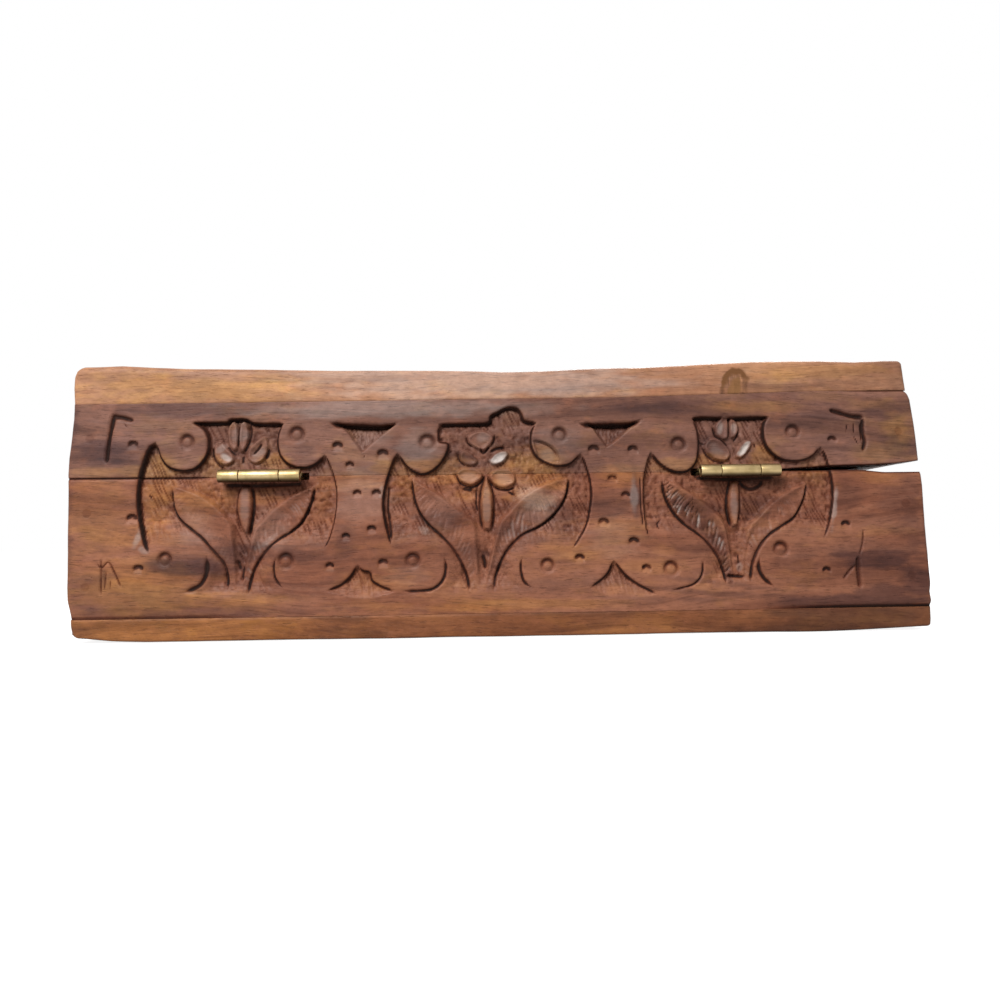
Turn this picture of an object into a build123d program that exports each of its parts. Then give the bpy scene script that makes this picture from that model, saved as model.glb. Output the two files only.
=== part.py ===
from build123d import *
import os
from math import radians, tan

# A long, low carved rosewood trinket box: a tray of butt-jointed boards, a lid built the same
# way, two small brass butt hinges let into the seam at the back, and a swinging hook at the front.
# Millimetres. +X is to the right seen from the front, +Y points to the hinge side, +Z is up.
# The origin is the middle of the footprint, on the surface that the box stands on.

# The box
box_length = 203.0
box_depth = 127.0
wall_thickness = 9.0
bottom_thickness = 4.8
base_wall_height = 33.2
lid_rail_height = 18.2
top_thickness = 8.6
seam_gap = 0.2
edge_wear = 0.6
top_edge_round = 1.6
top_end_shortfall = 0.8
corner_round = 1.0

# The lid is twisted: at its left end the rails lift off the tray in a long wedge.
wedge_length = 34.0
wedge_rise = 2.2

# Brass butt hinges of three knuckles, with the whole barrel outside the back
hinge_spacing = 113.0
hinge_length = 19.0
middle_knuckle = 9.2
knuckle_gap = 0.1
barrel_radius = 1.5
barrel_clearance = 0.2
hinge_pin_radius = 0.7
running_clearance = 0.05
leaf_thickness = 0.8
leaf_gap = 0.1
leaf_reach = 6.0
gain_clearance = 0.05
gain_overrun = 1.5
leaf_relief = 0.25

# Slotted countersunk screws of the hinges
hinge_screw_spacing = 12.0
hinge_screw_radius = 0.7
hinge_screw_head_radius = 1.4
hinge_screw_length = 7.0
countersink_depth = 0.65
slot_width = 0.4
slot_depth = 0.25

# Panel pins, their heads punched just under the wood
pin_radius = 0.6
pin_head_radius = 1.1
pin_head_thickness = 0.5
pin_sink = 0.4
pin_fit = 0.02
corner_pin_length = 19.0
board_pin_length = 17.0
pins_per_long_edge = 4
pin_end_margin = 12.0
corner_pin_spacing = 17.0

# The hook at the front: it hangs from a screw in the tray, and swings up over a stud in the lid
hook_screw_drop = 6.5
stud_rise = 6.5
hook_thickness = 1.0
hook_eye_radius = 2.7
hook_arm_width = 2.6
hook_tail_length = 4.6
hook_tail_lean = 20.0
hook_tail_width = 2.0
stud_clearance = 0.3
washer_radius = 2.4
washer_thickness = 0.8
hook_play = 0.1
front_screw_radius = 0.8
front_screw_head_radius = 2.0
front_screw_head_height = 1.1
front_screw_grip = 7.5

# The carving of the top: two rows of three vase motifs, foot to foot, and triangles between them.
# Each motif is a sunk ground between two long arcs, bitten into by four round lobes. Two leaves,
# a stem and five petals stand in it. Places are from the foot of the stem.
carving_depth = 1.6
leaf_level = 0.6
foot_level = 0.8
motif_stems = (-62.0, -3.8, 56.3)
motif_row_start = 7.0
motif_height = 41.2
crescent_radius = 25.9
crescent_middle = (3.3, 22.4)
upper_lobe_radius = 6.4
upper_lobe = (14.4, 36.6)
lower_lobe_radius = 7.0
lower_lobe = (15.5, 5.3)
leaf_foot = (1.0, 2.0)
leaf_under = (12.4, 14.6)
leaf_tip = (20.0, 27.3)
leaf_over = (9.4, 24.2)
leaf_fork = (2.4, 15.4)
stem_foot_y = 13.4
stem_tip_y = 27.4
stem_half_width = 1.6
petal_radius = 1.9
petals = ((0, 36.6), (4.4, 33.2), (-4.4, 33.2), (3.6, 29.2), (-3.6, 29.2))
triangle_half_width = 8.5
upper_triangle_depth = 7.8
lower_triangle_height = 6.6

# Places that follow from the sizes
half_length = box_length / 2
half_depth = box_depth / 2
tray_top = bottom_thickness + base_wall_height
lid_bottom = tray_top + seam_gap
rail_top = lid_bottom + lid_rail_height
hinge_axis_z = tray_top + seam_gap / 2
hinge_axis_y = half_depth + barrel_radius + barrel_clearance
hinge_places = {"right": hinge_spacing / 2, "left": -hinge_spacing / 2}
hinge_screw_y = half_depth - leaf_reach / 2
wall_middle_y = half_depth - wall_thickness / 2
wall_middle_x = half_length - wall_thickness / 2
end_wall_length = box_depth - 2 * wall_thickness
hook_screw_z = tray_top - hook_screw_drop
stud_z = lid_bottom + stud_rise
hook_reach = stud_z - hook_screw_z
hook_back_y = -half_depth - washer_thickness - hook_play
hook_front_y = hook_back_y - hook_thickness


def block(length, depth, height, middle_x, middle_y, bottom_z):
    """A plain board standing on bottom_z."""
    standing = (Align.CENTER, Align.CENTER, Align.MIN)
    return Pos(middle_x, middle_y, bottom_z) * Box(length, depth, height, align=standing)


def rod(radius, length, place, direction):
    """A round bar from a place along a direction."""
    on_end = (Align.CENTER, Align.CENTER, Align.MIN)
    return Plane(place, z_dir=direction) * Cylinder(radius, length, align=on_end)


def cone(start_radius, end_radius, length, place, direction):
    """A taper from a place along a direction."""
    on_end = (Align.CENTER, Align.CENTER, Align.MIN)
    return Plane(place, z_dir=direction) * Cone(start_radius, end_radius, length, align=on_end)


def moved(place, direction, distance):
    """The point that lies a distance along a direction from a place."""
    return tuple(p + d * distance for p, d in zip(place, direction))


def write(shape, name):
    """Writes one piece, or one group of like pieces, under its own name."""
    export_step(shape, f"parts/{name}.step")


# Panel pins: where each goes in, and which way it points


def row_places(count, half_span, margin):
    """Evenly spaced places along an edge, the same margin from both of its ends."""
    reach = half_span - margin
    step = 2 * reach / (count - 1)
    return [-reach + step * index for index in range(count)]


def corner_pin_places(middle_z, levels):
    """Pins through the front and back boards into the end grain of the short boards."""
    places = []
    for side in (1, -1):
        for x in (wall_middle_x, -wall_middle_x):
            for level in levels:
                places.append(((x, side * half_depth, middle_z + level), (0, -side, 0)))
    return places


def board_pin_places(face_z, direction_z):
    """Pins through the top or the bottom board into the four boards that it closes."""
    direction = (0, 0, direction_z)
    places = []
    for x in row_places(pins_per_long_edge, half_length, pin_end_margin):
        for y in (wall_middle_y, -wall_middle_y):
            places.append(((x, y, face_z), direction))
    for x in (wall_middle_x, -wall_middle_x):
        places.append(((x, 0, face_z), direction))
    return places


base_corner_pins = corner_pin_places(
    bottom_thickness + base_wall_height / 2, (-corner_pin_spacing / 2, corner_pin_spacing / 2)
)
lid_corner_pins = corner_pin_places(lid_bottom + lid_rail_height / 2, (0,))
bottom_pins = board_pin_places(0, 1)
top_pins = board_pin_places(rail_top + top_thickness, -1)


def pin(place, direction, length):
    """A panel pin with its head sunk below the face that it was driven through."""
    head = rod(pin_head_radius, pin_head_thickness, moved(place, direction, pin_sink), direction)
    shank_start = moved(place, direction, pin_sink + pin_head_thickness)
    shank_length = length - pin_head_thickness - pin_radius
    shank = rod(pin_radius, shank_length, shank_start, direction)
    point_start = moved(shank_start, direction, shank_length)
    point = cone(pin_radius, pin_radius / 6, pin_radius, point_start, direction)
    return head + shank + point


def pin_hole(place, direction, length):
    """The hole that a pin makes, open above its sunk head."""
    mouth_depth = pin_sink + pin_head_thickness + pin_fit
    mouth = rod(pin_head_radius + pin_fit, mouth_depth, place, direction)
    shaft = rod(pin_radius + pin_fit, pin_sink + length + pin_fit, place, direction)
    return mouth + shaft


def pinned(board, places, length):
    """A board with the holes of the pins that are driven into it."""
    for place, direction in places:
        board = board - pin_hole(place, direction, length)
    return board


def pin_group(places, length):
    """The pins of one seam, as separate solids in one group."""
    return Compound(children=[pin(place, direction, length) for place, direction in places])


# Hinges

half_hinge = hinge_length / 2
half_middle = middle_knuckle / 2
plate_inner_y = half_depth - leaf_reach
tray_leaf_top = hinge_axis_z - leaf_gap / 2
lid_leaf_bottom = hinge_axis_z + leaf_gap / 2


def hinge_screw_places(hinge_x):
    """The two screws of a leaf, on the line along its middle."""
    offset = hinge_screw_spacing / 2
    return [(hinge_x - offset, hinge_screw_y), (hinge_x + offset, hinge_screw_y)]


def knuckle(start_x, end_x):
    """One rolled knuckle of the barrel, before its bore is cut."""
    return rod(barrel_radius, end_x - start_x, (start_x, hinge_axis_y, hinge_axis_z), (1, 0, 0))


def plate(start_x, end_x, outer_y, bottom_z):
    """A stretch of flat leaf between the wood and the barrel."""
    length = end_x - start_x
    depth = outer_y - plate_inner_y
    middle = ((start_x + end_x) / 2, (plate_inner_y + outer_y) / 2)
    return block(length, depth, leaf_thickness, *middle, bottom_z)


def leaf(hinge_x, bottom_z, knuckle_spans, screw_down):
    """A hinge leaf: its plate, its knuckles, its bore and its two countersunk holes."""
    clear_y = hinge_axis_y - barrel_radius - leaf_relief
    bore_start = (hinge_x - half_hinge, hinge_axis_y, hinge_axis_z)
    bore_radius = hinge_pin_radius + running_clearance
    shape = plate(hinge_x - half_hinge, hinge_x + half_hinge, clear_y, bottom_z)
    for start, end in knuckle_spans:
        shape = shape + plate(hinge_x + start, hinge_x + end, hinge_axis_y, bottom_z)
        shape = shape + knuckle(hinge_x + start, hinge_x + end)
    shape = shape - rod(bore_radius, hinge_length, bore_start, (1, 0, 0))
    for x, y in hinge_screw_places(hinge_x):
        face_z = bottom_z + leaf_thickness if screw_down else bottom_z
        way = (0, 0, -1) if screw_down else (0, 0, 1)
        shape = shape - cone(
            hinge_screw_head_radius + running_clearance,
            hinge_screw_radius + running_clearance,
            countersink_depth,
            (x, y, face_z),
            way,
        )
        shape = shape - rod(hinge_screw_radius + running_clearance, leaf_thickness, (x, y, face_z), way)
    return shape


def hinge_screw(x, y, face_z, way_z):
    """A slotted countersunk screw, its head flush with the leaf."""
    way = (0, 0, way_z)
    head = cone(hinge_screw_head_radius, hinge_screw_radius, countersink_depth, (x, y, face_z), way)
    shank_length = hinge_screw_length - countersink_depth - hinge_screw_radius
    shank_start = (x, y, face_z + way_z * countersink_depth)
    shank = rod(hinge_screw_radius, shank_length, shank_start, way)
    point_start = moved(shank_start, way, shank_length)
    point = cone(hinge_screw_radius, hinge_screw_radius / 6, hinge_screw_radius, point_start, way)
    slot_bottom = face_z if way_z > 0 else face_z - slot_depth
    slot = block(2.2 * hinge_screw_head_radius, slot_width, slot_depth, x, y, slot_bottom)
    return head + shank + point - slot


def hinge_screw_hole(x, y, face_z, way_z):
    """The hole in the wood for a hinge screw."""
    return rod(hinge_screw_radius + pin_fit, hinge_screw_length + pin_fit, (x, y, face_z), (0, 0, way_z))


def gain(hinge_x, bottom_z, depth):
    """The shallow seat of a leaf, cut a little too long towards the middle of the box."""
    towards_middle = -1 if hinge_x > 0 else 1
    outer_end = hinge_x - towards_middle * (half_hinge + gain_clearance)
    inner_end = hinge_x + towards_middle * (half_hinge + gain_overrun)
    inner_y = plate_inner_y - gain_clearance
    length = abs(inner_end - outer_end)
    middle = ((outer_end + inner_end) / 2, (inner_y + half_depth) / 2)
    return block(length, half_depth - inner_y, depth, *middle, bottom_z)


def make_hinge(side, hinge_x):
    """Writes the leaves, the pin and the screws of one hinge."""
    end_spans = [(-half_hinge, -half_middle - knuckle_gap), (half_middle + knuckle_gap, half_hinge)]
    tray_leaf = leaf(hinge_x, tray_leaf_top - leaf_thickness, end_spans, True)
    write(tray_leaf, f"{side}_hinge_base_leaf")
    lid_leaf = leaf(hinge_x, lid_leaf_bottom, [(-half_middle, half_middle)], False)
    write(lid_leaf, f"{side}_hinge_lid_leaf")
    pin_start = (hinge_x - half_hinge, hinge_axis_y, hinge_axis_z)
    write(rod(hinge_pin_radius, hinge_length, pin_start, (1, 0, 0)), f"{side}_hinge_pin")
    places = hinge_screw_places(hinge_x)
    tray_screws = [hinge_screw(x, y, tray_leaf_top, -1) for x, y in places]
    write(Compound(children=tray_screws), f"{side}_hinge_base_screws")
    lid_screws = [hinge_screw(x, y, lid_leaf_bottom, 1) for x, y in places]
    write(Compound(children=lid_screws), f"{side}_hinge_lid_screws")


# Boards


def worn(board, edges, radius):
    """A board with the given edges rounded by wear."""
    return fillet(edges, radius)


def long_board(side, height, bottom_z):
    """A front (side -1) or back (side 1) board, its two outer upright edges rounded."""
    board = block(box_length, wall_thickness, height, 0, side * wall_middle_y, bottom_z)
    outer = board.edges().filter_by(Axis.Z).filter_by(lambda e: e.center().Y * side > wall_middle_y)
    return worn(board, outer, corner_round)


def end_board(side, height, bottom_z):
    """A short board that closes the left (side -1) or right (side 1) end."""
    return block(wall_thickness, end_wall_length, height, side * wall_middle_x, 0, bottom_z)


def lid_wedge():
    """The long wedge that the twisted lid leaves open at its left end."""
    start_x = wedge_length - half_length
    overrun = 1.0
    slope = wedge_rise / wedge_length
    low_z = lid_bottom - overrun
    outline = Polyline(
        (start_x, lid_bottom),
        (-half_length - overrun, lid_bottom + slope * (wedge_length + overrun)),
        (-half_length - overrun, low_z),
        (start_x, low_z),
        close=True,
    )
    face = Plane.XZ * make_face(outline)
    return extrude(face, half_depth + overrun, both=True)


def front_screw_hole(z):
    """The hole in the front for the hook's screw or the stud."""
    return rod(
        front_screw_radius + pin_fit, front_screw_grip + pin_fit, (0, -half_depth, z), (0, 1, 0)
    )


def make_tray():
    """Writes the four walls and the bottom board of the tray."""
    back = long_board(1, base_wall_height, bottom_thickness)
    front = long_board(-1, base_wall_height, bottom_thickness)
    seat_depth = tray_top - (tray_leaf_top - leaf_thickness)
    for hinge_x in hinge_places.values():
        back = back - gain(hinge_x, tray_top - seat_depth, seat_depth)
        for x, y in hinge_screw_places(hinge_x):
            back = back - hinge_screw_hole(x, y, tray_leaf_top, -1)
    front = front - front_screw_hole(hook_screw_z)
    walls = {
        "base_back_wall": back,
        "base_front_wall": front,
        "base_right_wall": end_board(1, base_wall_height, bottom_thickness),
        "base_left_wall": end_board(-1, base_wall_height, bottom_thickness),
    }
    for name, wall in walls.items():
        wall = pinned(wall, base_corner_pins, corner_pin_length)
        wall = pinned(wall, bottom_pins, board_pin_length)
        write(wall, name)
    bottom = block(box_length, box_depth, bottom_thickness, 0, 0, 0)
    outer = bottom.edges().filter_by(Axis.Z) + bottom.edges().group_by(Axis.Z)[0]
    bottom = worn(bottom, outer, edge_wear)
    write(pinned(bottom, bottom_pins, board_pin_length), "bottom_board")
    write(pin_group(base_corner_pins, corner_pin_length), "base_corner_pins")
    write(pin_group(bottom_pins, board_pin_length), "bottom_board_pins")


def on_both_sides(place):
    """A place beside the stem and its mirror image."""
    return [place, (-place[0], place[1])]


def motif_ground():
    """The outline of a motif's sunk ground."""
    shape = Pos(0, motif_height / 2) * Rectangle(4 * crescent_radius, motif_height)
    for x, y in on_both_sides(crescent_middle):
        shape = shape & Pos(x, y) * Circle(crescent_radius)
    for x, y in on_both_sides(upper_lobe):
        shape = shape - Pos(x, y) * Circle(upper_lobe_radius)
    for x, y in on_both_sides(lower_lobe):
        shape = shape - Pos(x, y) * Circle(lower_lobe_radius)
    return shape


def motif_leaf():
    """The leaf on the right of the stem."""
    return make_face(Wire([
        Line((0, leaf_foot[1]), leaf_foot),
        ThreePointArc(leaf_foot, leaf_under, leaf_tip),
        ThreePointArc(leaf_tip, leaf_over, leaf_fork),
        Line(leaf_fork, (0, stem_foot_y - petal_radius)),
        Line((0, stem_foot_y - petal_radius), (0, leaf_foot[1])),
    ]))


def motif_stem():
    """The spindle of the stem, above the fork of the leaves."""
    foot = (0, stem_foot_y)
    tip = (0, stem_tip_y)
    middle_y = (stem_foot_y + stem_tip_y) / 2
    right = ThreePointArc(foot, (stem_half_width, middle_y), tip)
    left = ThreePointArc(tip, (-stem_half_width, middle_y), foot)
    return make_face(Wire([right, left]))


def motif_cutter():
    """What the carver took out for one motif."""
    ground = motif_ground()
    leaf = motif_leaf()
    floor = ground - leaf - mirror(leaf, about=Plane.YZ) - motif_stem()
    for x, y in petals:
        floor = floor - Pos(x, y) * Circle(petal_radius)
    return extrude(ground, -leaf_level) + extrude(floor, -carving_depth)


def triangle_cutter():
    """What the carver took out between two motifs: one triangle above and one below."""
    over = Polyline(
        (-triangle_half_width, motif_height),
        (triangle_half_width, motif_height),
        (0, motif_height - upper_triangle_depth),
        close=True,
    )
    under = Polyline((-triangle_half_width, 0), (triangle_half_width, 0), (0, lower_triangle_height), close=True)
    return extrude(make_face(over), -carving_depth) + extrude(make_face(under), -foot_level)


def carved(board):
    """The top board with both rows of motifs, the second turned half round."""
    face_z = rail_top + top_thickness
    motif = motif_cutter()
    triangles = triangle_cutter()
    for turn in (0, 180):
        row = Pos(0, 0, face_z) * Rot(0, 0, turn) * Pos(0, motif_row_start)
        for stem_x in motif_stems:
            board = board - row * Pos(stem_x, 0) * motif
        for left_x, right_x in zip(motif_stems, motif_stems[1:]):
            board = board - row * Pos((left_x + right_x) / 2, 0) * triangles
    return board


def make_lid():
    """Writes the four rails and the top board of the lid."""
    back = long_board(1, lid_rail_height, lid_bottom)
    front = long_board(-1, lid_rail_height, lid_bottom)
    seat_depth = lid_leaf_bottom + leaf_thickness - lid_bottom
    for hinge_x in hinge_places.values():
        back = back - gain(hinge_x, lid_bottom, seat_depth)
        for x, y in hinge_screw_places(hinge_x):
            back = back - hinge_screw_hole(x, y, lid_leaf_bottom, 1)
    front = front - front_screw_hole(stud_z)
    wedge = lid_wedge()
    rails = {
        "lid_back_rail": back - wedge,
        "lid_front_rail": front - wedge,
        "lid_right_rail": end_board(1, lid_rail_height, lid_bottom),
        "lid_left_rail": end_board(-1, lid_rail_height, lid_bottom) - wedge,
    }
    for name, rail in rails.items():
        rail = pinned(rail, lid_corner_pins, corner_pin_length)
        rail = pinned(rail, top_pins, board_pin_length)
        write(rail, name)
    top_length = box_length - top_end_shortfall
    top = block(top_length, box_depth, top_thickness, top_end_shortfall / 2, 0, rail_top)
    top = worn(top, top.edges().filter_by(Axis.Z), corner_round)
    top = worn(top, top.edges().group_by(Axis.Z)[-1], top_edge_round)
    write(carved(pinned(top, top_pins, board_pin_length)), "top_board")
    write(pin_group(lid_corner_pins, corner_pin_length), "lid_corner_pins")
    write(pin_group(top_pins, board_pin_length), "top_board_pins")


# The hook and what it hangs on


def round_head_screw(z, head_y):
    """A round-headed slotted screw into the front; its head starts at head_y."""
    shank_length = front_screw_grip - front_screw_radius + (-half_depth - head_y)
    shank = rod(front_screw_radius, shank_length, (0, head_y, z), (0, 1, 0))
    point_start = (0, head_y + shank_length, z)
    point = cone(front_screw_radius, front_screw_radius / 6, front_screw_radius, point_start, (0, 1, 0))
    head = rod(front_screw_head_radius, front_screw_head_height, (0, head_y, z), (0, -1, 0))
    head = fillet(head.edges().group_by(Axis.Y)[0], 0.75 * front_screw_head_height)
    slot_face_y = head_y - front_screw_head_height + slot_depth
    slot = Pos(0, slot_face_y, z) * Box(
        2.2 * front_screw_head_radius, 2 * slot_depth, slot_width, align=(Align.CENTER, Align.MAX, Align.CENTER)
    )
    return shank + point + head - slot


def hook_outline():
    """The hook hanging straight down from its eye, seen from the front."""
    seat_radius = front_screw_radius + stud_clearance
    end_radius = hook_eye_radius
    eye = Circle(hook_eye_radius)
    arm = Pos(0, -hook_reach / 2) * Rectangle(hook_arm_width, hook_reach)
    end = Pos(0, -hook_reach) * Circle(end_radius)
    tail_reach = end_radius + hook_tail_length
    tail_place = Pos(0, -hook_reach) * Rot(0, 0, -hook_tail_lean)
    tail = tail_place * Pos(0, -tail_reach / 2) * Rectangle(hook_tail_width, tail_reach)
    tip = tail_place * Pos(0, -tail_reach) * Circle(0.7 * hook_tail_width)
    mouth = Pos(end_radius, -hook_reach) * Rectangle(2 * end_radius, 2 * seat_radius)
    seat = Pos(0, -hook_reach) * Circle(seat_radius)
    bore = Circle(front_screw_radius + running_clearance)
    return eye + arm + end + tail + tip - mouth - seat - bore


def make_catch():
    """Writes the hook, its washer and screw, and the stud on the lid."""
    hook_plane = Plane((0, hook_front_y, hook_screw_z), x_dir=(1, 0, 0), z_dir=(0, -1, 0))
    write(extrude(hook_plane * hook_outline(), -hook_thickness), "catch_hook")
    washer_start = (0, -half_depth, hook_screw_z)
    washer = rod(washer_radius, washer_thickness, washer_start, (0, -1, 0))
    washer_bore = rod(front_screw_radius + running_clearance, washer_thickness, washer_start, (0, -1, 0))
    write(washer - washer_bore, "catch_washer")
    head_y = hook_front_y - hook_play
    write(round_head_screw(hook_screw_z, head_y), "catch_pivot_screw")
    write(round_head_screw(stud_z, head_y), "catch_stud")


os.makedirs("parts", exist_ok=True)
make_tray()
make_lid()
for side, hinge_x in hinge_places.items():
    make_hinge(side, hinge_x)
make_catch()
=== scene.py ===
import math

import bpy
import numpy as np
from mathutils import Matrix, Vector


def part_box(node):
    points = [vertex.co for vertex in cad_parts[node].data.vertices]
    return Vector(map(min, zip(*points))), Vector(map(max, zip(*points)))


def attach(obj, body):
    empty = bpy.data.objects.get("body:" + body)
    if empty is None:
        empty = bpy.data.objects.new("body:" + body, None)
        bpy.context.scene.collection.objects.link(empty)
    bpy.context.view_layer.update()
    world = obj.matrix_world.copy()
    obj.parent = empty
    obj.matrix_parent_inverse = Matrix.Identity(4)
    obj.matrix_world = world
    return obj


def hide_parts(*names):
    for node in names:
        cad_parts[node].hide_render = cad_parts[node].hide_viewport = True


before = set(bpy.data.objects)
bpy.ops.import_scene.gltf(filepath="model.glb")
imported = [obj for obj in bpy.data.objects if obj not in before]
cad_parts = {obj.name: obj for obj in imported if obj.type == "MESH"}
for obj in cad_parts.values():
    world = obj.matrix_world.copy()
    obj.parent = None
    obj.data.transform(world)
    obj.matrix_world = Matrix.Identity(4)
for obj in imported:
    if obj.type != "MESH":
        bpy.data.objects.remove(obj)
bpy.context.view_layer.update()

# The bottom board
# A thin rosewood board under the whole tray, glued and pinned to the four walls. Its edge shows
# below a dark glue line, and its corners are rubbed round from sliding on tables.

MM = 0.001
# Painted layers on each face: painted shade with dark wax in the cuts, golden patches, dusky patches with
# some painted shade, and pale patches with some painted highlights and sheen.
tint_and_shade_layers = ("hollow", "warm", "dusk", "pale")


def span_mm(node):
    """The lowest and the highest corner of a piece of the frame, in millimetres."""
    low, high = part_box(node)
    return np.array(low) / MM, np.array(high) / MM


lattice = np.random.default_rng(11).random((256, 256))


def hills(a, b):
    """Smooth random hills from 0 to 1, about one to each unit of a and b."""
    i = np.floor(a).astype(int)
    j = np.floor(b).astype(int)
    f = a - i
    g = b - j
    f = f * f * (3 - 2 * f)
    g = g * g * (3 - 2 * g)
    low = lattice[i % 256, j % 256] * (1 - f) + lattice[(i + 1) % 256, j % 256] * f
    high = lattice[i % 256, (j + 1) % 256] * (1 - f) + lattice[(i + 1) % 256, (j + 1) % 256] * f
    return low * (1 - g) + high * g


def ease(value, start, end):
    """0 at start, 1 at end, and a smooth step between."""
    t = np.clip((value - start) / (end - start), 0, 1)
    return t * t * (3 - 2 * t)


def stations(start, end, step, places=(), rim=1.8):
    """Places along an edge, a step apart, closer near both ends, and exactly at the given places."""
    near = rim * (1 - np.cos(np.linspace(0, math.pi / 2, 7)))[:-1]
    middle = np.linspace(start + rim, end - rim, max(2, round((end - start - 2 * rim) / step)))
    line = np.concatenate([start + near, middle, end - near])
    for place in places:
        line = line[np.abs(line - place) > 0.012]
    return np.sort(np.concatenate([line, places]))


class Face:
    """The outer skin of a board: a grid in millimetres across and up, and how deep it is cut."""

    def __init__(self, across, heights):
        self.z = np.zeros((len(heights), across.size)) + heights
        self.u = np.zeros(self.z.shape) + across
        self.depth = np.zeros(self.z.shape)
        for layer in tint_and_shade_layers:
            setattr(self, layer, np.zeros(self.z.shape))

    def round_edges(self, left, right, bottom, top):
        """Rounds the four edges, each to its own radius, unevenly as hand sanding does."""
        uneven = 0.7 + 0.6 * hills(self.u / 8 + 3, self.z / 8 + 5)
        fall = np.zeros(self.u.shape)
        for distance, radius in (
            (self.u - self.u[0, 0], left),
            (self.u[0, -1] - self.u, right),
            (self.z - self.z[0], bottom),
            (self.z[-1] - self.z, top),
        ):
            size = np.maximum(radius * uneven, 0.02)
            e = np.clip(1 - distance / size, 0, 1)
            fall = np.maximum(fall, size * (1 - np.sqrt(1 - e * e)))
        self.depth += fall

    def wear(self, waves=0.16):
        """The slow hollows of a face that was planed by hand, and its fine tool texture."""
        self.depth += waves * (1 - hills(self.u / 21, self.z / 9 + 40))
        self.depth += 0.05 * hills(self.u / 4, self.z / 1.3)
        self.depth += 0.05 * hills(self.u / 1.1 + 50, self.z / 0.9) * (self.depth > 0.6)

    def darken(self, amount, here=...):
        """Darkens the whole face or a part of it, where it isn't darker already: painted shade in cuts and
        hollows, dark wax and dark joints.
        """
        self.hollow[here] = np.maximum(self.hollow[here], amount)

    def tint(self, layer, u, z, reach_u, reach_z, strength, turn=0.0):
        """A soft patch of another hue, drawn out along the grain and frayed at its rim."""
        x = ((self.u - u) * math.cos(turn) + (self.z - z) * math.sin(turn)) / reach_u
        y = ((self.z - z) * math.cos(turn) - (self.u - u) * math.sin(turn)) / reach_z
        fray = 0.7 * hills(self.u / 5 + u, self.z / 1.2 + z) + 0.3 * hills(self.u / 2, self.z / 0.6)
        patch = strength * ease(np.hypot(x, y) + 0.7 * fray - 0.35, 1.0, 0.35)
        getattr(self, layer)[:] = np.maximum(getattr(self, layer), patch)


def new_object(name, data):
    """An object in the scene, at the origin."""
    thing = bpy.data.objects.new(name, data)
    bpy.context.scene.collection.objects.link(thing)
    return thing


def tube(name, face, u, v, w, axes, origin):
    """A closed mesh from rows of points that go round a board, in millimetres on the board's axes."""
    across, up, out = (np.array(axis, float) for axis in axes)
    points = np.array(origin, float) + u.reshape(-1, 1) * across + v.reshape(-1, 1) * up
    points = points + w.reshape(-1, 1) * out
    count, columns = u.shape
    index = np.arange(count * columns).reshape(count, columns)
    above = np.roll(index, -1, 0)
    quads = np.stack([index[:, :-1], index[:, 1:], above[:, 1:], above[:, :-1]], -1).reshape(-1, 4)
    ends = [index[:, 0].tolist(), index[::-1, -1].tolist()]
    mesh = bpy.data.meshes.new(name)
    mesh.from_pydata((points * MM).tolist(), [], quads.tolist() + ends)
    smooth = np.zeros(len(mesh.polygons), bool)
    smooth[: (face.u.shape[0] - 1) * (columns - 1)] = True
    mesh.polygons.foreach_set("use_smooth", smooth)
    rest = np.zeros((count - face.u.shape[0], columns))
    for layer in tint_and_shade_layers:
        data = mesh.attributes.new(layer, "FLOAT", "POINT").data
        data.foreach_set("value", np.concatenate([getattr(face, layer), rest]).ravel().astype(np.float32))
    mesh.validate()
    return new_object(name, mesh)


# The small bevel along the edges that aren't rounded.
arris = 0.05


def slab_rows(low, high, thickness, radius, step, edge_step, places=()):
    """The rows of a flat board's skin: up one edge, over the face and down the other edge.

    Each row has its place across and out, the way it faces, and how far round the skin it lies.
    """
    side = np.arange(thickness - arris, radius, -edge_step)
    bends = np.linspace(0, math.pi / 2, 7)[1:-1]
    quarter = radius * math.pi / 2
    flat = stations(low + radius, high - radius, step, places, rim=0.6)
    v = np.concatenate([low + 0 * side, low + radius - radius * np.cos(bends), flat])
    w = np.concatenate([-side, -radius + radius * np.sin(bends), 0 * flat])
    nv = np.concatenate([-1 + 0 * side, -np.cos(bends), 0 * flat])
    nw = np.concatenate([0 * side, np.sin(bends), 1 + 0 * flat])
    edge = low + radius - quarter
    s = np.concatenate([edge - side + radius, edge + radius * bends, flat])
    far = slice(None, len(side) + len(bends))
    v = np.concatenate([v, low + high - v[far][::-1]])
    s = np.concatenate([s, low + high - s[far][::-1]])
    w = np.concatenate([w, w[far][::-1]])
    nv = np.concatenate([nv, -nv[far][::-1]])
    nw = np.concatenate([nw, nw[far][::-1]])
    return v, w, nv, nw, s


def slab(name, face, rows, thickness, axes, origin, bend):
    """A flat board, whose skin covers its face and its two long edges."""
    v, w, nv, nw = (row[:, None] + 0 * face.u for row in rows[:4])
    v = v - nv * face.depth
    w = w - nw * face.depth
    low = v[0]
    high = v[-1]
    back_v = np.stack([high - arris, low + arris])
    v = np.concatenate([v, back_v])
    w = np.concatenate([w, -thickness + 0 * back_v])
    u = np.zeros(v.shape) + face.u[0]
    return tube(name, face, *bend(u, v, w), axes, origin)


def node_group(name, inputs, outputs):
    """An empty shader node group with named inputs and outputs."""
    group = bpy.data.node_groups.new(name, "ShaderNodeTree")
    for label, kind, value in inputs:
        socket = group.interface.new_socket(label, in_out="INPUT", socket_type=kind)
        socket.default_value = value
    for label, kind in outputs:
        group.interface.new_socket(label, in_out="OUTPUT", socket_type=kind)
    return group


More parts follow.
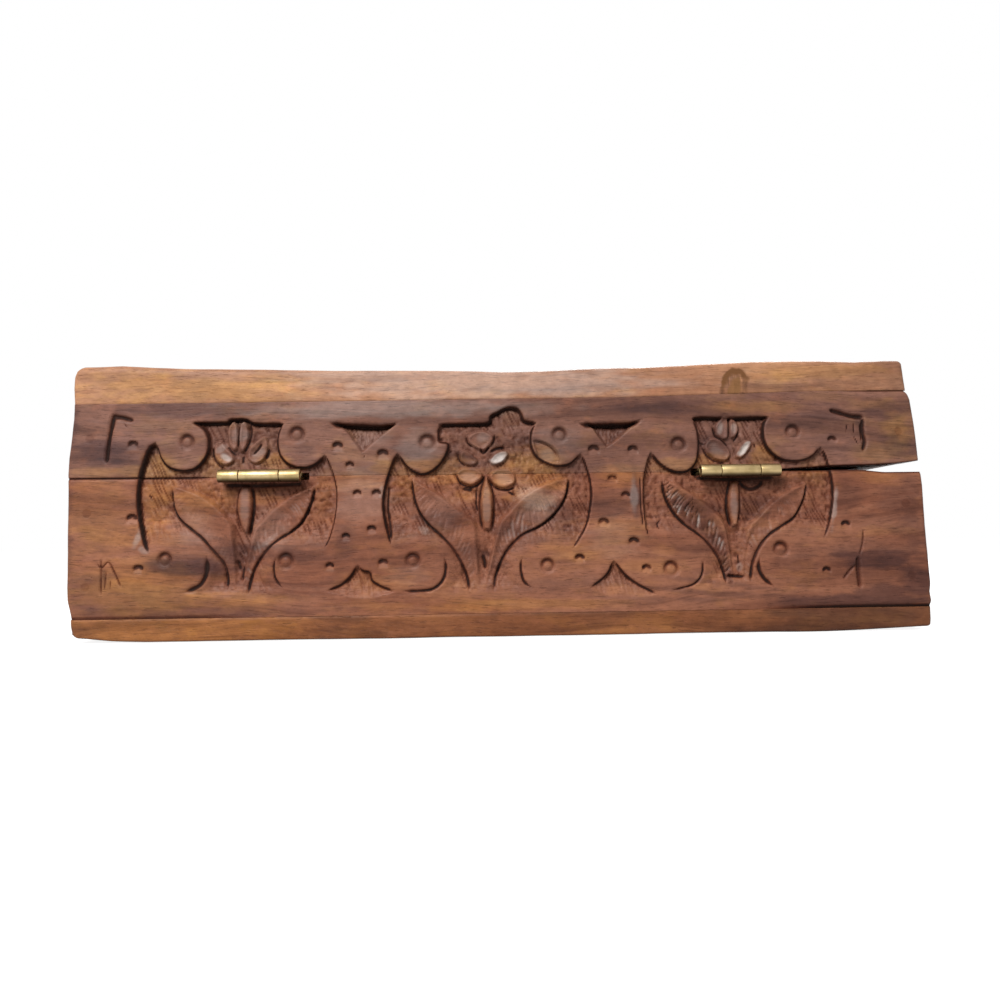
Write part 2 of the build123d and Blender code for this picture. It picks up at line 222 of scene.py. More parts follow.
def add(tree, kind, settings=(), **inputs):
    """Adds a node, sets it up, and feeds its inputs with values or other nodes' outputs."""
    node = tree.nodes.new(kind)
    for key, value in dict(settings).items():
        setattr(node, key, value)
    for key, value in inputs.items():
        label = key.replace("_", " ")
        slot = int(key[1:]) if key[0] == "i" and key[1:].isdigit() else label
        socket = node.inputs[slot]
        if isinstance(value, bpy.types.NodeSocket):
            tree.links.new(value, socket)
        else:
            socket.default_value = value
    return node


def maths(tree, operation, a, b=0.0):
    """One step of arithmetic on numbers, each of which may be another node's output."""
    return add(tree, "ShaderNodeMath", {"operation": operation}, i0=a, i1=b).outputs[0]


def times(tree, a, b):
    """The product of two numbers."""
    return maths(tree, "MULTIPLY", a, b)


def plus(tree, a, b):
    """The sum of two numbers."""
    return maths(tree, "ADD", a, b)


def minus(tree, a, b):
    """The difference of two numbers."""
    return maths(tree, "SUBTRACT", a, b)


def mix(tree, factor, a, b, blend="MIX"):
    """Mixes two colours."""
    node = add(tree, "ShaderNodeMix", {"data_type": "RGBA", "blend_type": blend, "clamp_factor": True})
    for slot, value in ((0, factor), (6, a), (7, b)):
        if isinstance(value, bpy.types.NodeSocket):
            tree.links.new(value, node.inputs[slot])
        elif slot == 0:
            node.inputs[slot].default_value = value
        else:
            node.inputs[slot].default_value = (*value, 1.0)
    return node.outputs[2]


def noise(tree, vector, scale, detail=4.0, roughness=0.55):
    """Fractal noise, about 0.5 on average."""
    node = add(tree, "ShaderNodeTexNoise", Vector=vector, Scale=scale, Detail=detail, Roughness=roughness)
    return node.outputs["Fac"]


def stretched(tree, vector, stretch, shift=(0, 0, 0), turn=0.0):
    """Coordinates squeezed or drawn out along each axis, after a turn about Z."""
    if turn:
        vector = add(tree, "ShaderNodeMapping", Vector=vector, Rotation=(0, 0, turn)).outputs["Vector"]
    return add(tree, "ShaderNodeMapping", Vector=vector, Scale=stretch, Location=shift).outputs["Vector"]


def smooth_step(tree, value, start, end):
    """A number mapped from start..end to 0..1 with a smooth step."""
    node = add(tree, "ShaderNodeMapRange", {"interpolation_type": "SMOOTHSTEP"}, Value=value)
    node.inputs["From Min"].default_value = start
    node.inputs["From Max"].default_value = end
    return node.outputs["Result"]


# Rosewood as it is sawn: rings seen on the flat as long streaks along X, short dark pores, and
# slow drifts of hue. Colours are dark streak, body and pale streak.
grain_group = node_group(
    "rosewood grain",
    [
        ("Vector", "NodeSocketVector", (0, 0, 0)),
        ("Dark", "NodeSocketColor", (0.1, 0.04, 0.025, 1)),
        ("Body", "NodeSocketColor", (0.3, 0.13, 0.07, 1)),
        ("Pale", "NodeSocketColor", (0.5, 0.26, 0.13, 1)),
        ("Streaks", "NodeSocketFloat", 0.5),
    ],
    [("Color", "NodeSocketColor"), ("Height", "NodeSocketFloat"), ("Roughness", "NodeSocketFloat")],
)


def build_grain(tree):
    """Fills the grain group."""
    start = add(tree, "NodeGroupInput").outputs
    end = add(tree, "NodeGroupOutput")
    vector = start["Vector"]
    broad = stretched(tree, vector, (11, 26, 26))
    drift = add(tree, "ShaderNodeTexNoise", Vector=broad, Scale=1.0, Detail=2.0)
    sway = add(tree, "ShaderNodeVectorMath", {"operation": "SCALE"}, i0=drift.outputs["Color"], Scale=0.02)
    swayed = add(tree, "ShaderNodeVectorMath", {"operation": "ADD"}, i0=vector, i1=sway.outputs[0]).outputs[0]
    slow = noise(tree, stretched(tree, swayed, (14, 95, 95)), 1.0, 3.0)
    rings = noise(tree, stretched(tree, swayed, (9, 260, 260)), 1.0, 4.0, 0.6)
    streak = noise(tree, stretched(tree, swayed, (12, 420, 420), (0.4, 0.1, 0.7)), 1.0, 3.0, 0.55)
    mottle = noise(tree, stretched(tree, vector, (170, 300, 300)), 1.0, 3.0, 0.6)
    fine = noise(tree, stretched(tree, swayed, (55, 1700, 1700)), 1.0, 3.0, 0.6)
    pores = noise(tree, stretched(tree, vector, (420, 5200, 5200)), 1.0, 2.0, 0.5)
    body = mix(tree, times(tree, smooth_step(tree, slow, 0.4, 0.64), 0.6), start["Body"], start["Pale"])
    body = mix(tree, times(tree, smooth_step(tree, rings, 0.5, 0.7), 0.55), body, start["Pale"])
    dark = times(tree, smooth_step(tree, rings, 0.5, 0.32), start["Streaks"])
    body = mix(tree, dark, body, start["Dark"])
    line = times(tree, smooth_step(tree, streak, 0.4, 0.3), start["Streaks"])
    body = mix(tree, line, body, start["Dark"])
    body = mix(tree, times(tree, smooth_step(tree, fine, 0.52, 0.3), 0.3), body, start["Dark"])
    body = mix(tree, times(tree, smooth_step(tree, mottle, 0.5, 0.75), 0.22), body, (0.46, 0.17, 0.085))
    for stretch, shift, hue in (
        ((75, 190, 190), (0.2, 0.5, 0.3), (1.3, 1.38, 0.98)),
        ((60, 230, 230), (0.6, 0.1, 0.8), (0.68, 0.74, 0.9)),
    ):
        blotch = noise(tree, stretched(tree, vector, stretch, shift), 1.0, 3.0, 0.65)
        body = mix(tree, times(tree, smooth_step(tree, blotch, 0.5, 0.66), 0.4), body, hue, "MULTIPLY")
    pore = smooth_step(tree, pores, 0.4, 0.3)
    body = mix(tree, times(tree, pore, 0.45), body, start["Dark"])
    height = minus(tree, times(tree, fine, 0.6), times(tree, pore, 0.8))
    rough = plus(tree, times(tree, pore, 0.2), times(tree, mottle, 0.25))
    tree.links.new(body, end.inputs["Color"])
    tree.links.new(height, end.inputs["Height"])
    tree.links.new(plus(tree, rough, 0.34), end.inputs["Roughness"])


build_grain(grain_group)


def new_material(name):
    """A material with its node tree, its shader and its Object coordinates."""
    material = bpy.data.materials.new(name)
    material.use_nodes = True
    tree = material.node_tree
    place = add(tree, "ShaderNodeTexCoord").outputs["Object"]
    return material, tree, tree.nodes["Principled BSDF"], place


def feed_shader(tree, shader, colour, rough, height, strength, distance):
    """Joins a colour, a roughness and a bump to a shader."""
    bump = add(tree, "ShaderNodeBump", Strength=strength, Distance=distance, Height=height)
    for label, value in (("Base Color", colour), ("Roughness", rough), ("Normal", bump.outputs["Normal"])):
        tree.links.new(value, shader.inputs[label])


def wood(name, dark, body, pale, streaks, shift=(0, 0, 0), turn=0.0, extra=None):
    """A waxed rosewood: grain, dark wax and painted shade in the hollows, worn patches, painted highlights
    and sheen where the pale layer is strong, and pores in the finish.
    """
    material, tree, shader, place = new_material(name)
    shader.inputs["Specular IOR Level"].default_value = 0.16
    moved = stretched(tree, place, (1, 1, 1), shift, turn)
    grain = add(tree, "ShaderNodeGroup", {"node_tree": grain_group}, Vector=moved, Streaks=streaks)
    for label, colour in (("Dark", dark), ("Body", body), ("Pale", pale)):
        grain.inputs[label].default_value = (*colour, 1.0)
    hollow, warm, dusk, pale_and_highlight = (
        add(tree, "ShaderNodeAttribute", {"attribute_name": layer}).outputs["Fac"] for layer in tint_and_shade_layers
    )
    colour = mix(tree, warm, grain.outputs["Color"], (1.38, 1.42, 0.92), "MULTIPLY")
    colour = mix(tree, dusk, colour, (0.4, 0.42, 0.56), "MULTIPLY")
    # The pale layer: the wood's own grey-tan where it is weak, painted highlights and sheen where it is
    # strong.
    colour = mix(tree, pale_and_highlight, colour, (0.54, 0.47, 0.43))
    mottle = noise(tree, stretched(tree, place, (330, 520, 520)), 1.0, 4.0, 0.65)
    mottle = mix(tree, smooth_step(tree, mottle, 0.32, 0.68), (0.88, 0.86, 0.85), (1.09, 1.09, 1.09))
    colour = mix(tree, 1.0, colour, mottle, "MULTIPLY")
    if extra:
        colour = extra(tree, place, colour)
    worn = noise(tree, stretched(tree, place, (700, 700, 700)), 1.0, 3.0, 0.6)
    # The darkening layer takes the wood towards near black: painted shade with dark wax.
    depth = times(tree, hollow, plus(tree, 0.72, times(tree, worn, 0.55)))
    wax_and_shade_tone = mix(tree, 1.0, colour, (0.42, 0.26, 0.2), "MULTIPLY")
    colour = mix(tree, smooth_step(tree, depth, 0.0, 0.7), colour, wax_and_shade_tone)
    colour = mix(tree, smooth_step(tree, depth, 0.3, 1.0), colour, (0.014, 0.005, 0.003))
    rough = plus(tree, grain.outputs["Roughness"], times(tree, hollow, 0.3))
    height = plus(tree, grain.outputs["Height"], times(tree, worn, 0.7))
    feed_shader(tree, shader, colour, rough, height, 0.5, 0.15 * MM)
    return material


def finish_with(piece, material, slot, body, *nodes):
    """Gives a piece its material, its body and the nodes of the frame that it stands for. The slot is not
    used.
    """
    piece.data.materials.clear()
    piece.data.materials.append(material)
    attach(piece, body)
    if nodes:
        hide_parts(*nodes)


def dent(face, u, z, radius, depth, darkening):
    """A round dent with a steep rim, such as over a sunk pin head."""
    share = ease(np.hypot(face.u - u, face.z - z), radius + 0.1, radius - 0.12)
    face.depth += depth * share
    face.darken(darkening * share)


turned_under = ((-1, 0, 0), (0, 1, 0), (0, 0, -1))
bottom_low, bottom_high = span_mm("bottom_board")
bottom_thickness = bottom_high[2] - bottom_low[2]
pin_low, pin_high = span_mm("bottom_board_pins")
pin_radius = 1.1
pin_sunk = pin_low[2]
end_pin_x = pin_high[0] - pin_radius
side_pin_y = pin_high[1] - pin_radius
side_pin_x = 89.5
board_pins = [(x, y) for y in (-side_pin_y, side_pin_y) for x in np.linspace(-side_pin_x, side_pin_x, 4)]
board_pins += [(-end_pin_x, 0), (end_pin_x, 0)]


def near_pins(places):
    """Stations close enough together for the rims of the pin holes."""
    return np.concatenate([place + np.linspace(-1.4, 1.4, 13) for place in sorted(set(places))])


def between(value, places):
    """A value read off a line through a few places."""
    at, amounts = zip(*places)
    return np.interp(value, at, amounts)


# How far the two ends are worn in towards the hinge side, at each height, and how far the
# underside is worn up along the hinge side.
left_end = [
    (0, 3.0), (1.5, 2.2), (3.5, 1.85), (5.2, 1.8), (5.5, 2.2), (7, 1.9), (10, 1.1), (13, 0.85),
    (20, 0.65), (30, 0.35), (36, 0.15), (39, 0), (43, 0.05), (48, 0.5), (52, 0.8), (55.5, 0.75),
    (60, 0.35), (62.5, 0.4), (63.8, 0.9), (64.6, 1.5), (65, 2.1),
]
right_end = [
    (0, 0.6), (2, 0.35), (5, 0.3), (7, 0.1), (9, 0.35), (11, 0), (18, 0.1), (26, 0.25), (34, 0.4),
    (38, 0.6), (41, 0.9), (46, 1.2), (52, 1.7), (55, 1.95), (56.3, 2.4), (57.3, 3.3),
]
worn_up = [
    (-101, 1.1), (-97, 0.9), (-90, 0.4), (-82, 0.1), (-70, 0), (76, 0), (86, 0.3), (95, 0.6), (101, 0.8),
]
joint_z = 5.5


def bottom_bend(u, v, w):
    """The ends are worn in, and the edge that the glue line sits on is a little proud."""
    inner = between(-w, left_end) * ease(v, 8, 58) * ease(u, -90, -101.5)
    outer = between(-w, right_end) * ease(v, 8, 58) * ease(u, 90, 101.5)
    edge = (0.04 + 0.24 * ease(u, 48, 80)) * hills(u / 9, v * 0 + 3) * ease(v, 60, 63)
    thicker = 1 + (joint_z - 0.01 - bottom_thickness) / bottom_thickness * ease(v, 56, 59)
    lifted = between(u, worn_up) * ease(v, 48, 63) * (1 + w / bottom_thickness)
    uneven = 0.2 * ease(v, 60, 63) * hills(u / 14, v * 0) * (1 + w / bottom_thickness)
    return u + inner - outer, v - edge, w * thicker - lifted - uneven


bottom_rows = slab_rows(
    bottom_low[1], bottom_high[1], bottom_thickness,
    radius=0.7, step=1.6, edge_step=0.6, places=near_pins(y for _, y in board_pins),
)
bottom_across = stations(bottom_low[0], bottom_high[0], 1.3, near_pins(-x for x, _ in board_pins))
bottom_face = Face(bottom_across, bottom_rows[4][:, None])
bottom_face.round_edges(1.0, 0.7, 0, 0)
bottom_face.wear(0.12)
flat_on_table = ease(np.abs(bottom_face.z), 61.5, 59.5)
bottom_face.depth *= 1 - 0.9 * flat_on_table * ease(np.abs(bottom_face.u), 99.5, 98)
for x, y in board_pins:
    dent(bottom_face, -x, y, pin_radius, pin_sunk, 0.5)
for place in ((20, 68.5, 40, 1.5, 0.4), (82, 66, 34, 6, 0.8), (70, 64, 20, 1.5, 0.7)):
    bottom_face.tint("dusk", *place)
bottom_face.tint("warm", -75, 66, 45, 6, 0.45)
bottom_wood = wood(
    "bottom board rosewood", dark=(0.085, 0.026, 0.012), body=(0.23, 0.082, 0.034), pale=(0.35, 0.14, 0.058),
    streaks=0.5, shift=(0.3, 0, 0),
)
bottom_board = slab(
    "bottom_board_shape", bottom_face, bottom_rows, bottom_thickness, turned_under, (0, 0, 0), bottom_bend
)
finish_with(bottom_board, bottom_wood, "bottom_wood", "base", "bottom_board")

# The walls of the tray
# Four rosewood boards, the long ones lapping the ends, glued and pinned through into the end
# grain. The outside is carved by hand with gouges: vase-shaped motifs of two leaves, a stem and a
# flower, sunk about two millimetres, with round lobes, ring punches and thumbnail cuts between.


def smooth_line(points, steps=7):
    """A curve through a few points, as short straight runs."""
    p = np.array(points, float)
    if len(p) == 2:
        return p
    ends = np.concatenate([[2 * p[0] - p[1]], p, [2 * p[-1] - p[-2]]])
    t = (np.arange(steps) / steps)[:, None]
    runs = []
    for a, b, c, d in zip(ends, ends[1:], ends[2:], ends[3:]):
        bend = (2 * a - 5 * b + 4 * c - d) * t * t
        runs.append(0.5 * (2 * b + (c - a) * t + bend + (3 * b - a - 3 * c + d) * t**3))
    return np.concatenate(runs + [p[-1:]])


def outline(*runs):
    """A closed outline made of smooth curves that meet at corners."""
    return np.concatenate([smooth_line(run)[:-1] for run in runs])


def nearest(line, u, z):
    """How far each point is from a line, and how far along the line that is."""
    best = np.full(u.shape, 1e9)
    along = np.zeros(u.shape)
    run = 0.0
    for (a0, a1), (b0, b1) in zip(line[:-1], line[1:]):
        d0 = b0 - a0
        d1 = b1 - a1
        length = math.hypot(d0, d1)
        if length < 1e-6:
            continue
        t = np.clip(((u - a0) * d0 + (z - a1) * d1) / length**2, 0, 1)
        x = u - a0 - t * d0
        y = z - a1 - t * d1
        distance = np.hypot(x, y)
        closer = distance < best
        best = np.where(closer, distance, best)
        along = np.where(closer, run + t * length, along)
        run += length
    return best, along


def inside(shape, u, z):
    """Distance to a closed outline, positive inside it."""
    closed = np.concatenate([shape, shape[:1]])
    within = np.zeros(u.shape, bool)
    for (a0, a1), (b0, b1) in zip(closed[:-1], closed[1:]):
        if a1 == b1:
            continue
        crosses = (a1 > z) != (b1 > z)
        within ^= crosses & (u < (b0 - a0) * (z - a1) / (b1 - a1) + a0)
    distance = nearest(closed, u, z)[0]
    return np.where(within, distance, -distance)


def gouge_marks(across, along, pitch, run, seed):
    """Short parallel cuts of a small gouge, 0 between them and 1 in the middle of one."""
    drift = 0.5 * hills(along / run * 0.6 + seed, across / pitch * 0.2 + seed)
    lane = across / pitch + drift
    cell = np.floor(lane)
    middle = 1 - (2 * (lane - cell) - 1) ** 2
    pressed = hills(cell * 5.3 + seed, along / run + 9 * lattice[cell.astype(int) % 256, seed])
    return middle * ease(pressed, 0.3, 0.6)


class Carving:
    """Cuts a face with strokes given in millimetres across and up.

    The ground is how deep a motif is sunk, and a blunt tool cuts nothing narrower than twice its radius.
    """

    def __init__(self, face, shift=(0.0, 0.0), flip=(1, 1), size=1.0, ground=1.5, blunt=0.0):
        self.face = face
        self.ground = ground
        self.blunt = blunt
        self.u = (face.u - shift[0]) * flip[0] * size
        self.z = (face.z - shift[1]) * flip[1] * size

    def near(self, line, margin):
        """The part of the face round a line, and its places across and up."""
        low = line.min(0) - margin
        high = line.max(0) + margin
        here = (self.u > low[0]) & (self.u < high[0]) & (self.z > low[1]) & (self.z < high[1])
        return here, self.u[here], self.z[here]

    def leave_standing(self, here, level, share):
        """Leaves a part of the face at a level above the sunk ground, as far as share is 1."""
        old = self.face.depth[here]
        self.face.depth[here] = old + (np.minimum(level, old) - old) * share

    def sink(self, shape, depth, wall=0.45, grit=0.0):
        """Lowers what lies inside an outline, with a steep wall and pits or small cuts in its floor, painted
        darker the deeper it is sunk, as painted shade with dark wax.
        """
        here, u, z = self.near(shape, 0.2)
        floor = depth(u, z) if callable(depth) else depth
        share = ease(inside(shape, u, z), 0.0, max(wall, self.blunt))
        pits = ease(hills(u / 0.75 + 3, z / 0.95) + 0.6 * hills(u / 0.4, z / 0.5), 0.6, 1.35)
        cuts = ease(gouge_marks(u + 0.45 * z, z, 0.85, 2.4, 23), 0.25, 0.85)
        pits = grit * (pits + (cuts - pits) * ease(hills(u / 6 + 20, z / 5 + 4), 0.42, 0.6))
        deep = floor + 0.3 * pits * np.minimum(floor, 1.0)
        self.face.depth[here] = np.maximum(self.face.depth[here], deep * share)
        self.face.darken((0.1 + 0.38 * pits) * share * np.clip(floor, 0.0, 1.0), here)

    def stand(self, shape, level, wall):
        """Leaves what lies inside an outline standing at a level, with a sloping wall."""
        here, u, z = self.near(shape, 0.2)
        share = ease(inside(shape, u, z), 0.0, wall)
        self.leave_standing(here, level, share)
        self.face.hollow[here] *= 1 - 0.9 * share

    def groove(self, points, width, depth, darkening=0.8, taper=2.0):
        """A V cut along a curve, running out at both ends, painted near black inside as shade with dark wax.
        """
        line = smooth_line(points)
        depth *= min(1.0, width / (2 * self.blunt + 0.01)) ** 0.5
        width = max(width, 2 * self.blunt)
        here, u, z = self.near(line, width)
        distance, along = nearest(line, u, z)
        level = along * 0
        total = np.sum(np.hypot(*np.diff(line, axis=0).T))
        run_out = ease(np.minimum(along, total - along), -0.2, taper)
        wander = 0.55 + 0.6 * hills(along / 3 + width, level + depth) + 0.25 * hills(along / 0.8, level)
        reach = 0.5 * width * run_out * wander
        share = np.clip(1 - distance / np.maximum(reach, 0.05), 0, 1)
        self.face.depth[here] += depth * share * run_out
        patchy = np.minimum(0.7 + 0.45 * hills(along / 4 + 9, level + width), 1)
        self.face.darken(ease(share, 0.05, 0.85) * darkening * run_out * patchy, here)

    def cuts(self, lines, darkening, taper=1.2):
        """Several grooves, each with its own curve, width and depth."""
        for points, width, depth in lines:
            self.groove(points, width, depth, darkening, taper)

    def thumbnail(self, u, z, radius, depth=0.6):
        """A half-moon cut: steep above, with painted shade darkening its upper part, running out below."""
        here = (np.abs(self.u - u) < 2 * radius) & (np.abs(self.z - z) < 2.4 * radius)
        x = (self.u[here] - u) / radius
        y = (self.z[here] - z) / radius
        r = np.hypot(x, np.maximum(y, 0) / 0.75)
        under = ease(r, 1.0, 0.7)
        self.face.depth[here] += depth * under * ease(y, -1.2, 0.4)
        moon = (0.6 + 0.35 * hills(x + 3 * u, y)) * under * ease(r + y, -0.2, 0.4) * ease(y, -0.5, 0.0)
        self.face.darken(moon, here)

    def ring_punch(self, u, z, radius, depth=0.7, darkening=0.8):
        """A round tool mark: a ring pressed in round a small dome, the ring painted darker on its upper side
        as shade.
        """
        here = (np.abs(self.u - u) < 1.6 * radius) & (np.abs(self.z - z) < 1.6 * radius)
        x = self.u[here] - u
        y = self.z[here] - z
        r = np.hypot(x, y) / radius
        ring = np.exp(-(((r - 0.72) / 0.27) ** 2))
        upper = 0.6 + 0.4 * y / np.maximum(np.hypot(x, y), 0.05)
        self.face.depth[here] += depth * ring * (0.4 + 0.6 * upper)
        self.face.darken(darkening * ring * upper, here)

    def petal(self, points):
        """A petal left standing in the ground: a thin rim round a shallow scoop, with painted shade in the
        gap round it.
        """
        shape = smooth_line(points + points[:1])[:-1]
        here, u, z = self.near(shape, 1.0)
        deep = inside(shape, u, z)
        share = ease(deep, -0.1, 0.45)
        self.leave_standing(here, 0.6 + 0.5 * ease(deep, 0.1, 1.3), share)
        gap = np.exp(-(((deep + 0.2) / 0.25) ** 2))
        self.face.depth[here] += 0.2 * gap
        self.face.hollow[here] = np.maximum(self.face.hollow[here] * (1 - share), 0.25 * gap)

    def leaf(self, lower, upper, strokes):
        """A leaf, dished from its deep lower edge up to a crest that falls softly to the ground, with painted
        shade over its lower band and painted highlights on some of its gouge cuts.
        """
        shape = outline(lower, upper[::-1])
        here, u, z = self.near(shape, 0.2)
        near_low, along = nearest(smooth_line(lower), u, z)
        near_high = nearest(smooth_line(upper), u, z)[0]
        t = near_low / (near_low + near_high + 1e-6)
        level = 0.3 + 0.5 * np.sin(np.pi * np.clip(t / 0.85, 0, 1)) ** 1.2 + 0.3 * ease(t, 0.25, 0.0)
        cuts = gouge_marks(along + 0.5 * near_low, near_low, 0.95, 2.0, 23)
        cuts = cuts * ease(t, 0.8, 0.5) * ease(t, 0.03, 0.12)
        share = ease(inside(shape, u, z) / (0.3 + 1.3 * ease(t, 0.45, 0.9)), 0, 1)
        self.leave_standing(here, level + strokes * cuts, share)
        # Painted shade darkens and dusks the lower band between the cuts; some cuts get painted highlights.
        band = strokes * ease(t, 0.85, 0.5) * ease(t, 0.0, 0.15) * ease(along, 2, 7) * share
        darkening = 0.5 * band * ease(cuts, 0.5, 0.0)
        self.face.hollow[here] = np.maximum(self.face.hollow[here] * (1 - 0.9 * share), darkening)
        self.face.dusk[here] = np.maximum(self.face.dusk[here], 1.1 * strokes * band)
        pale_and_highlight = strokes * band * ease(cuts, 0.4, 0.9) * ease(hills(u / 2.2 + 5, z / 2.2), 0.2, 0.8)
        self.face.pale[here] = np.maximum(self.face.pale[here], pale_and_highlight)
        self.groove(lower, 1.1, 0.6, 1.0)


def carve_motif(carving, motif):
    """One vase motif: the sunk ground, two leaves, the stem, the petals and the cuts round them."""
    shape = outline(
        motif["top"], motif["upper_right"], motif["right_crescent"], motif["lower_right"],
        [motif["lower_right"][-1], *motif["foot"], motif["lower_left"][0]],
        motif["lower_left"], motif["left_crescent"], motif["upper_left"],
    )
    lower_rim = np.concatenate([
        smooth_line(motif["lower_right"]), np.array(motif["foot"], float), smooth_line(motif["lower_left"])
    ])

    def ground_depth(u, z):
        """Full depth above, running out softly towards the lower lobes and the foot."""
        marks = gouge_marks(u + 0.35 * z + hills(u / 3, z / 3), z, 0.9, 1.8, 17)
        floor = carving.ground - 0.25 + 0.25 * marks + 0.3 * hills(u / 3 + 7, z / 3)
        return floor * ease(nearest(lower_rim, u, z)[0], -0.5, 7.5)

    carving.sink(shape, ground_depth, 0.45, 1.0)
    for leaf, strokes in zip(("left_leaf", "right_leaf"), motif["strokes"]):
        carving.leaf(*motif[leaf], strokes)
    left_edge, right_edge = motif["stem"]
    carving.stand(outline(left_edge, right_edge[::-1]), 0.45, 0.8)
    for edge, width in zip(motif["stem"], motif["stem_cuts"]):
        carving.groove(edge, width, 0.6, min(1.0, 0.3 + 0.6 * width))
    for name, width in zip(("left_crescent", "right_crescent", "upper_left", "upper_right"), motif["widths"]):
        carving.groove(motif[name], width, 0.45, 1.0)
    for arc, width in motif["lower_arcs"]:
        carving.groove(arc, width, 0.6, 1.0, 3.0)
    carving.groove([(u, z - 0.35) for u, z in motif["top"]], 1.3, 0.7, 1.0, 1.2)
    for petal in motif["petals"]:
        carving.petal(petal)
    carving.cuts(motif["creases"], 1.0, 0.8)
    carving.cuts(motif["notches"], 0.9, 1.0)


# The three motifs as they were cut, each a little different. Curves are given across the back and
# up from the table; creases and notches also have a width and a depth.
left_motif = {
    "top": [(-73.2, 51.2), (-65.2, 51.2), (-63.8, 51.8), (-60.3, 51.8), (-58.3, 50.9), (-51.3, 50.7)],
    "upper_right": [
        (-51.3, 50.7), (-52.5, 48.8), (-52.9, 46.3), (-52.4, 43.5), (-50.9, 41.4), (-48.8, 40.3),
        (-46.3, 40), (-44, 40.8), (-42.3, 42.3), (-41.8, 43.5),
    ],
    "right_crescent": [
        (-41.8, 43.5), (-40.5, 40.6), (-39.4, 37.4), (-38.8, 34.1), (-38.9, 30.7), (-39.5, 26.8),
        (-40.5, 23.3), (-41.9, 20.6),
    ],
    "lower_right": [
        (-41.9, 20.6), (-45.3, 20.6), (-49.2, 21.5), (-52.2, 20.5), (-53.2, 17.6), (-53, 14.8),
        (-51.9, 12.9), (-50.4, 11.5),
    ],
    "foot": [(-55.2, 9.7), (-67.1, 9.7)],
    "lower_left": [
        (-74.6, 11.3), (-72.1, 12), (-70.1, 13.1), (-69, 14.9), (-68.5, 17.3), (-69, 20.2), (-71.1, 22.4),
        (-74.6, 23.2), (-78.1, 22.4), (-81.8, 20),
    ],
    "left_crescent": [
        (-81.8, 20), (-83.1, 22.7), (-84, 26.1), (-84.8, 30), (-85.1, 34), (-84.8, 37.9), (-84, 41.6),
        (-83, 44.6), (-81.4, 46.7),
    ],
    "upper_left": [
        (-81.4, 46.7), (-80.8, 44.8), (-80.1, 42.8), (-78.7, 40.9), (-76.4, 39.8), (-73.9, 39.6),
        (-71.5, 40.5), (-69.8, 42.5), (-69, 45), (-69.2, 47.7), (-70.4, 49.7), (-73.2, 51.2),
    ],
    "left_leaf": (
        [
            (-77.6, 36.3), (-77.3, 33), (-76.7, 30.3), (-75.2, 28), (-72.8, 26), (-70.2, 24),
            (-68.2, 21.8), (-66.3, 19.6), (-64.9, 17.8), (-64.1, 15.3), (-63.8, 11.5),
        ],
        [(-77.6, 36.3), (-75, 36.2), (-71, 35), (-67.5, 32.8), (-64.5, 29.8), (-62.4, 26), (-61.4, 11.5)],
    ),
    "right_leaf": (
        [
            (-44.1, 36), (-44.6, 33), (-45.6, 30), (-47.3, 27), (-49.5, 25), (-52, 23.5), (-54.4, 21.6),
            (-56.3, 19.2), (-57.8, 16.6), (-58.7, 13.8), (-59.2, 10.3),
        ],
        [(-44.1, 36), (-47.5, 35.2), (-51, 33.6), (-54.5, 31), (-57.2, 28), (-59.3, 24.5), (-61.3, 10.3)],
    ),
    "stem": (
        [(-61.2, 36.6), (-62.1, 34), (-62.4, 31), (-62, 28.3), (-61, 25.3)],
        [(-59.4, 36.6), (-58.6, 34), (-58.4, 31), (-58.7, 28), (-59.5, 23.4)],
    ),
    "petals": [
        [
            (-67.7, 46.4), (-66.2, 46.7), (-65, 45.2), (-63.5, 43.6), (-63.2, 42), (-64.6, 40.9),
            (-66.6, 41.4), (-67.9, 43.6),
        ],
        [
            (-59.9, 44.6), (-58.2, 46.5), (-56.1, 47.7), (-55.2, 46.2), (-55.3, 43.8), (-56.4, 41.9),
            (-58.3, 41.1), (-60, 42.4),
        ],
        [
            (-64.6, 50.3), (-63.5, 51.5), (-62.6, 50.3), (-62.3, 47.6), (-62.4, 45.2), (-63.2, 44.2),
            (-64.4, 45.8), (-64.9, 48),
        ],
        [
            (-61.9, 50.8), (-60.9, 51.5), (-60, 49.8), (-59.8, 47.5), (-60.4, 45.2), (-61.3, 43.7),
            (-62, 45.2), (-62.2, 48),
        ],
    ],
    "creases": [
        ([(-65, 45.6), (-63.9, 44.2), (-62.6, 43)], 0.9, 0.5),
        ([(-58.9, 43.2), (-57.6, 44.6), (-56.6, 46.2)], 1.3, 0.4),
        ([(-59.7, 51), (-59.4, 48.2), (-60, 45.8), (-60.9, 43.8)], 0.9, 0.5),
        ([(-61.1, 43.4), (-61.2, 41)], 1.1, 0.5), ([(-62.3, 50.6), (-62.3, 47.5), (-62.5, 45)], 0.7, 0.4),
        ([(-55, 45), (-55.3, 43.4), (-56, 42)], 1.3, 0.9),
        ([(-68.4, 45.4), (-68.1, 43), (-67, 41.2), (-65.4, 40)], 0.8, 0.5),
    ],
    "lower_arcs": [
        ([(-74.6, 11.3), (-72.1, 12), (-70.1, 13.1), (-69, 14.9), (-68.6, 17.3), (-69, 20.4)], 1.7),
        ([(-52.4, 20), (-53.2, 17.6), (-53, 14.8), (-51.9, 12.9), (-50.4, 11.5)], 0.9),
    ],
    "notches": [
        ([(-62, 19), (-61.6, 17.6), (-61, 16)], 1.4, 0.5),
        ([(-60.4, 17.6), (-60.6, 15), (-60.2, 13.6)], 1.1, 0.4),
    ],
    "strokes": (0.1, 0.4),
    "stem_cuts": (0.7, 1.3),
    "widths": (1.6, 0.6, 1.2, 1.2),
}
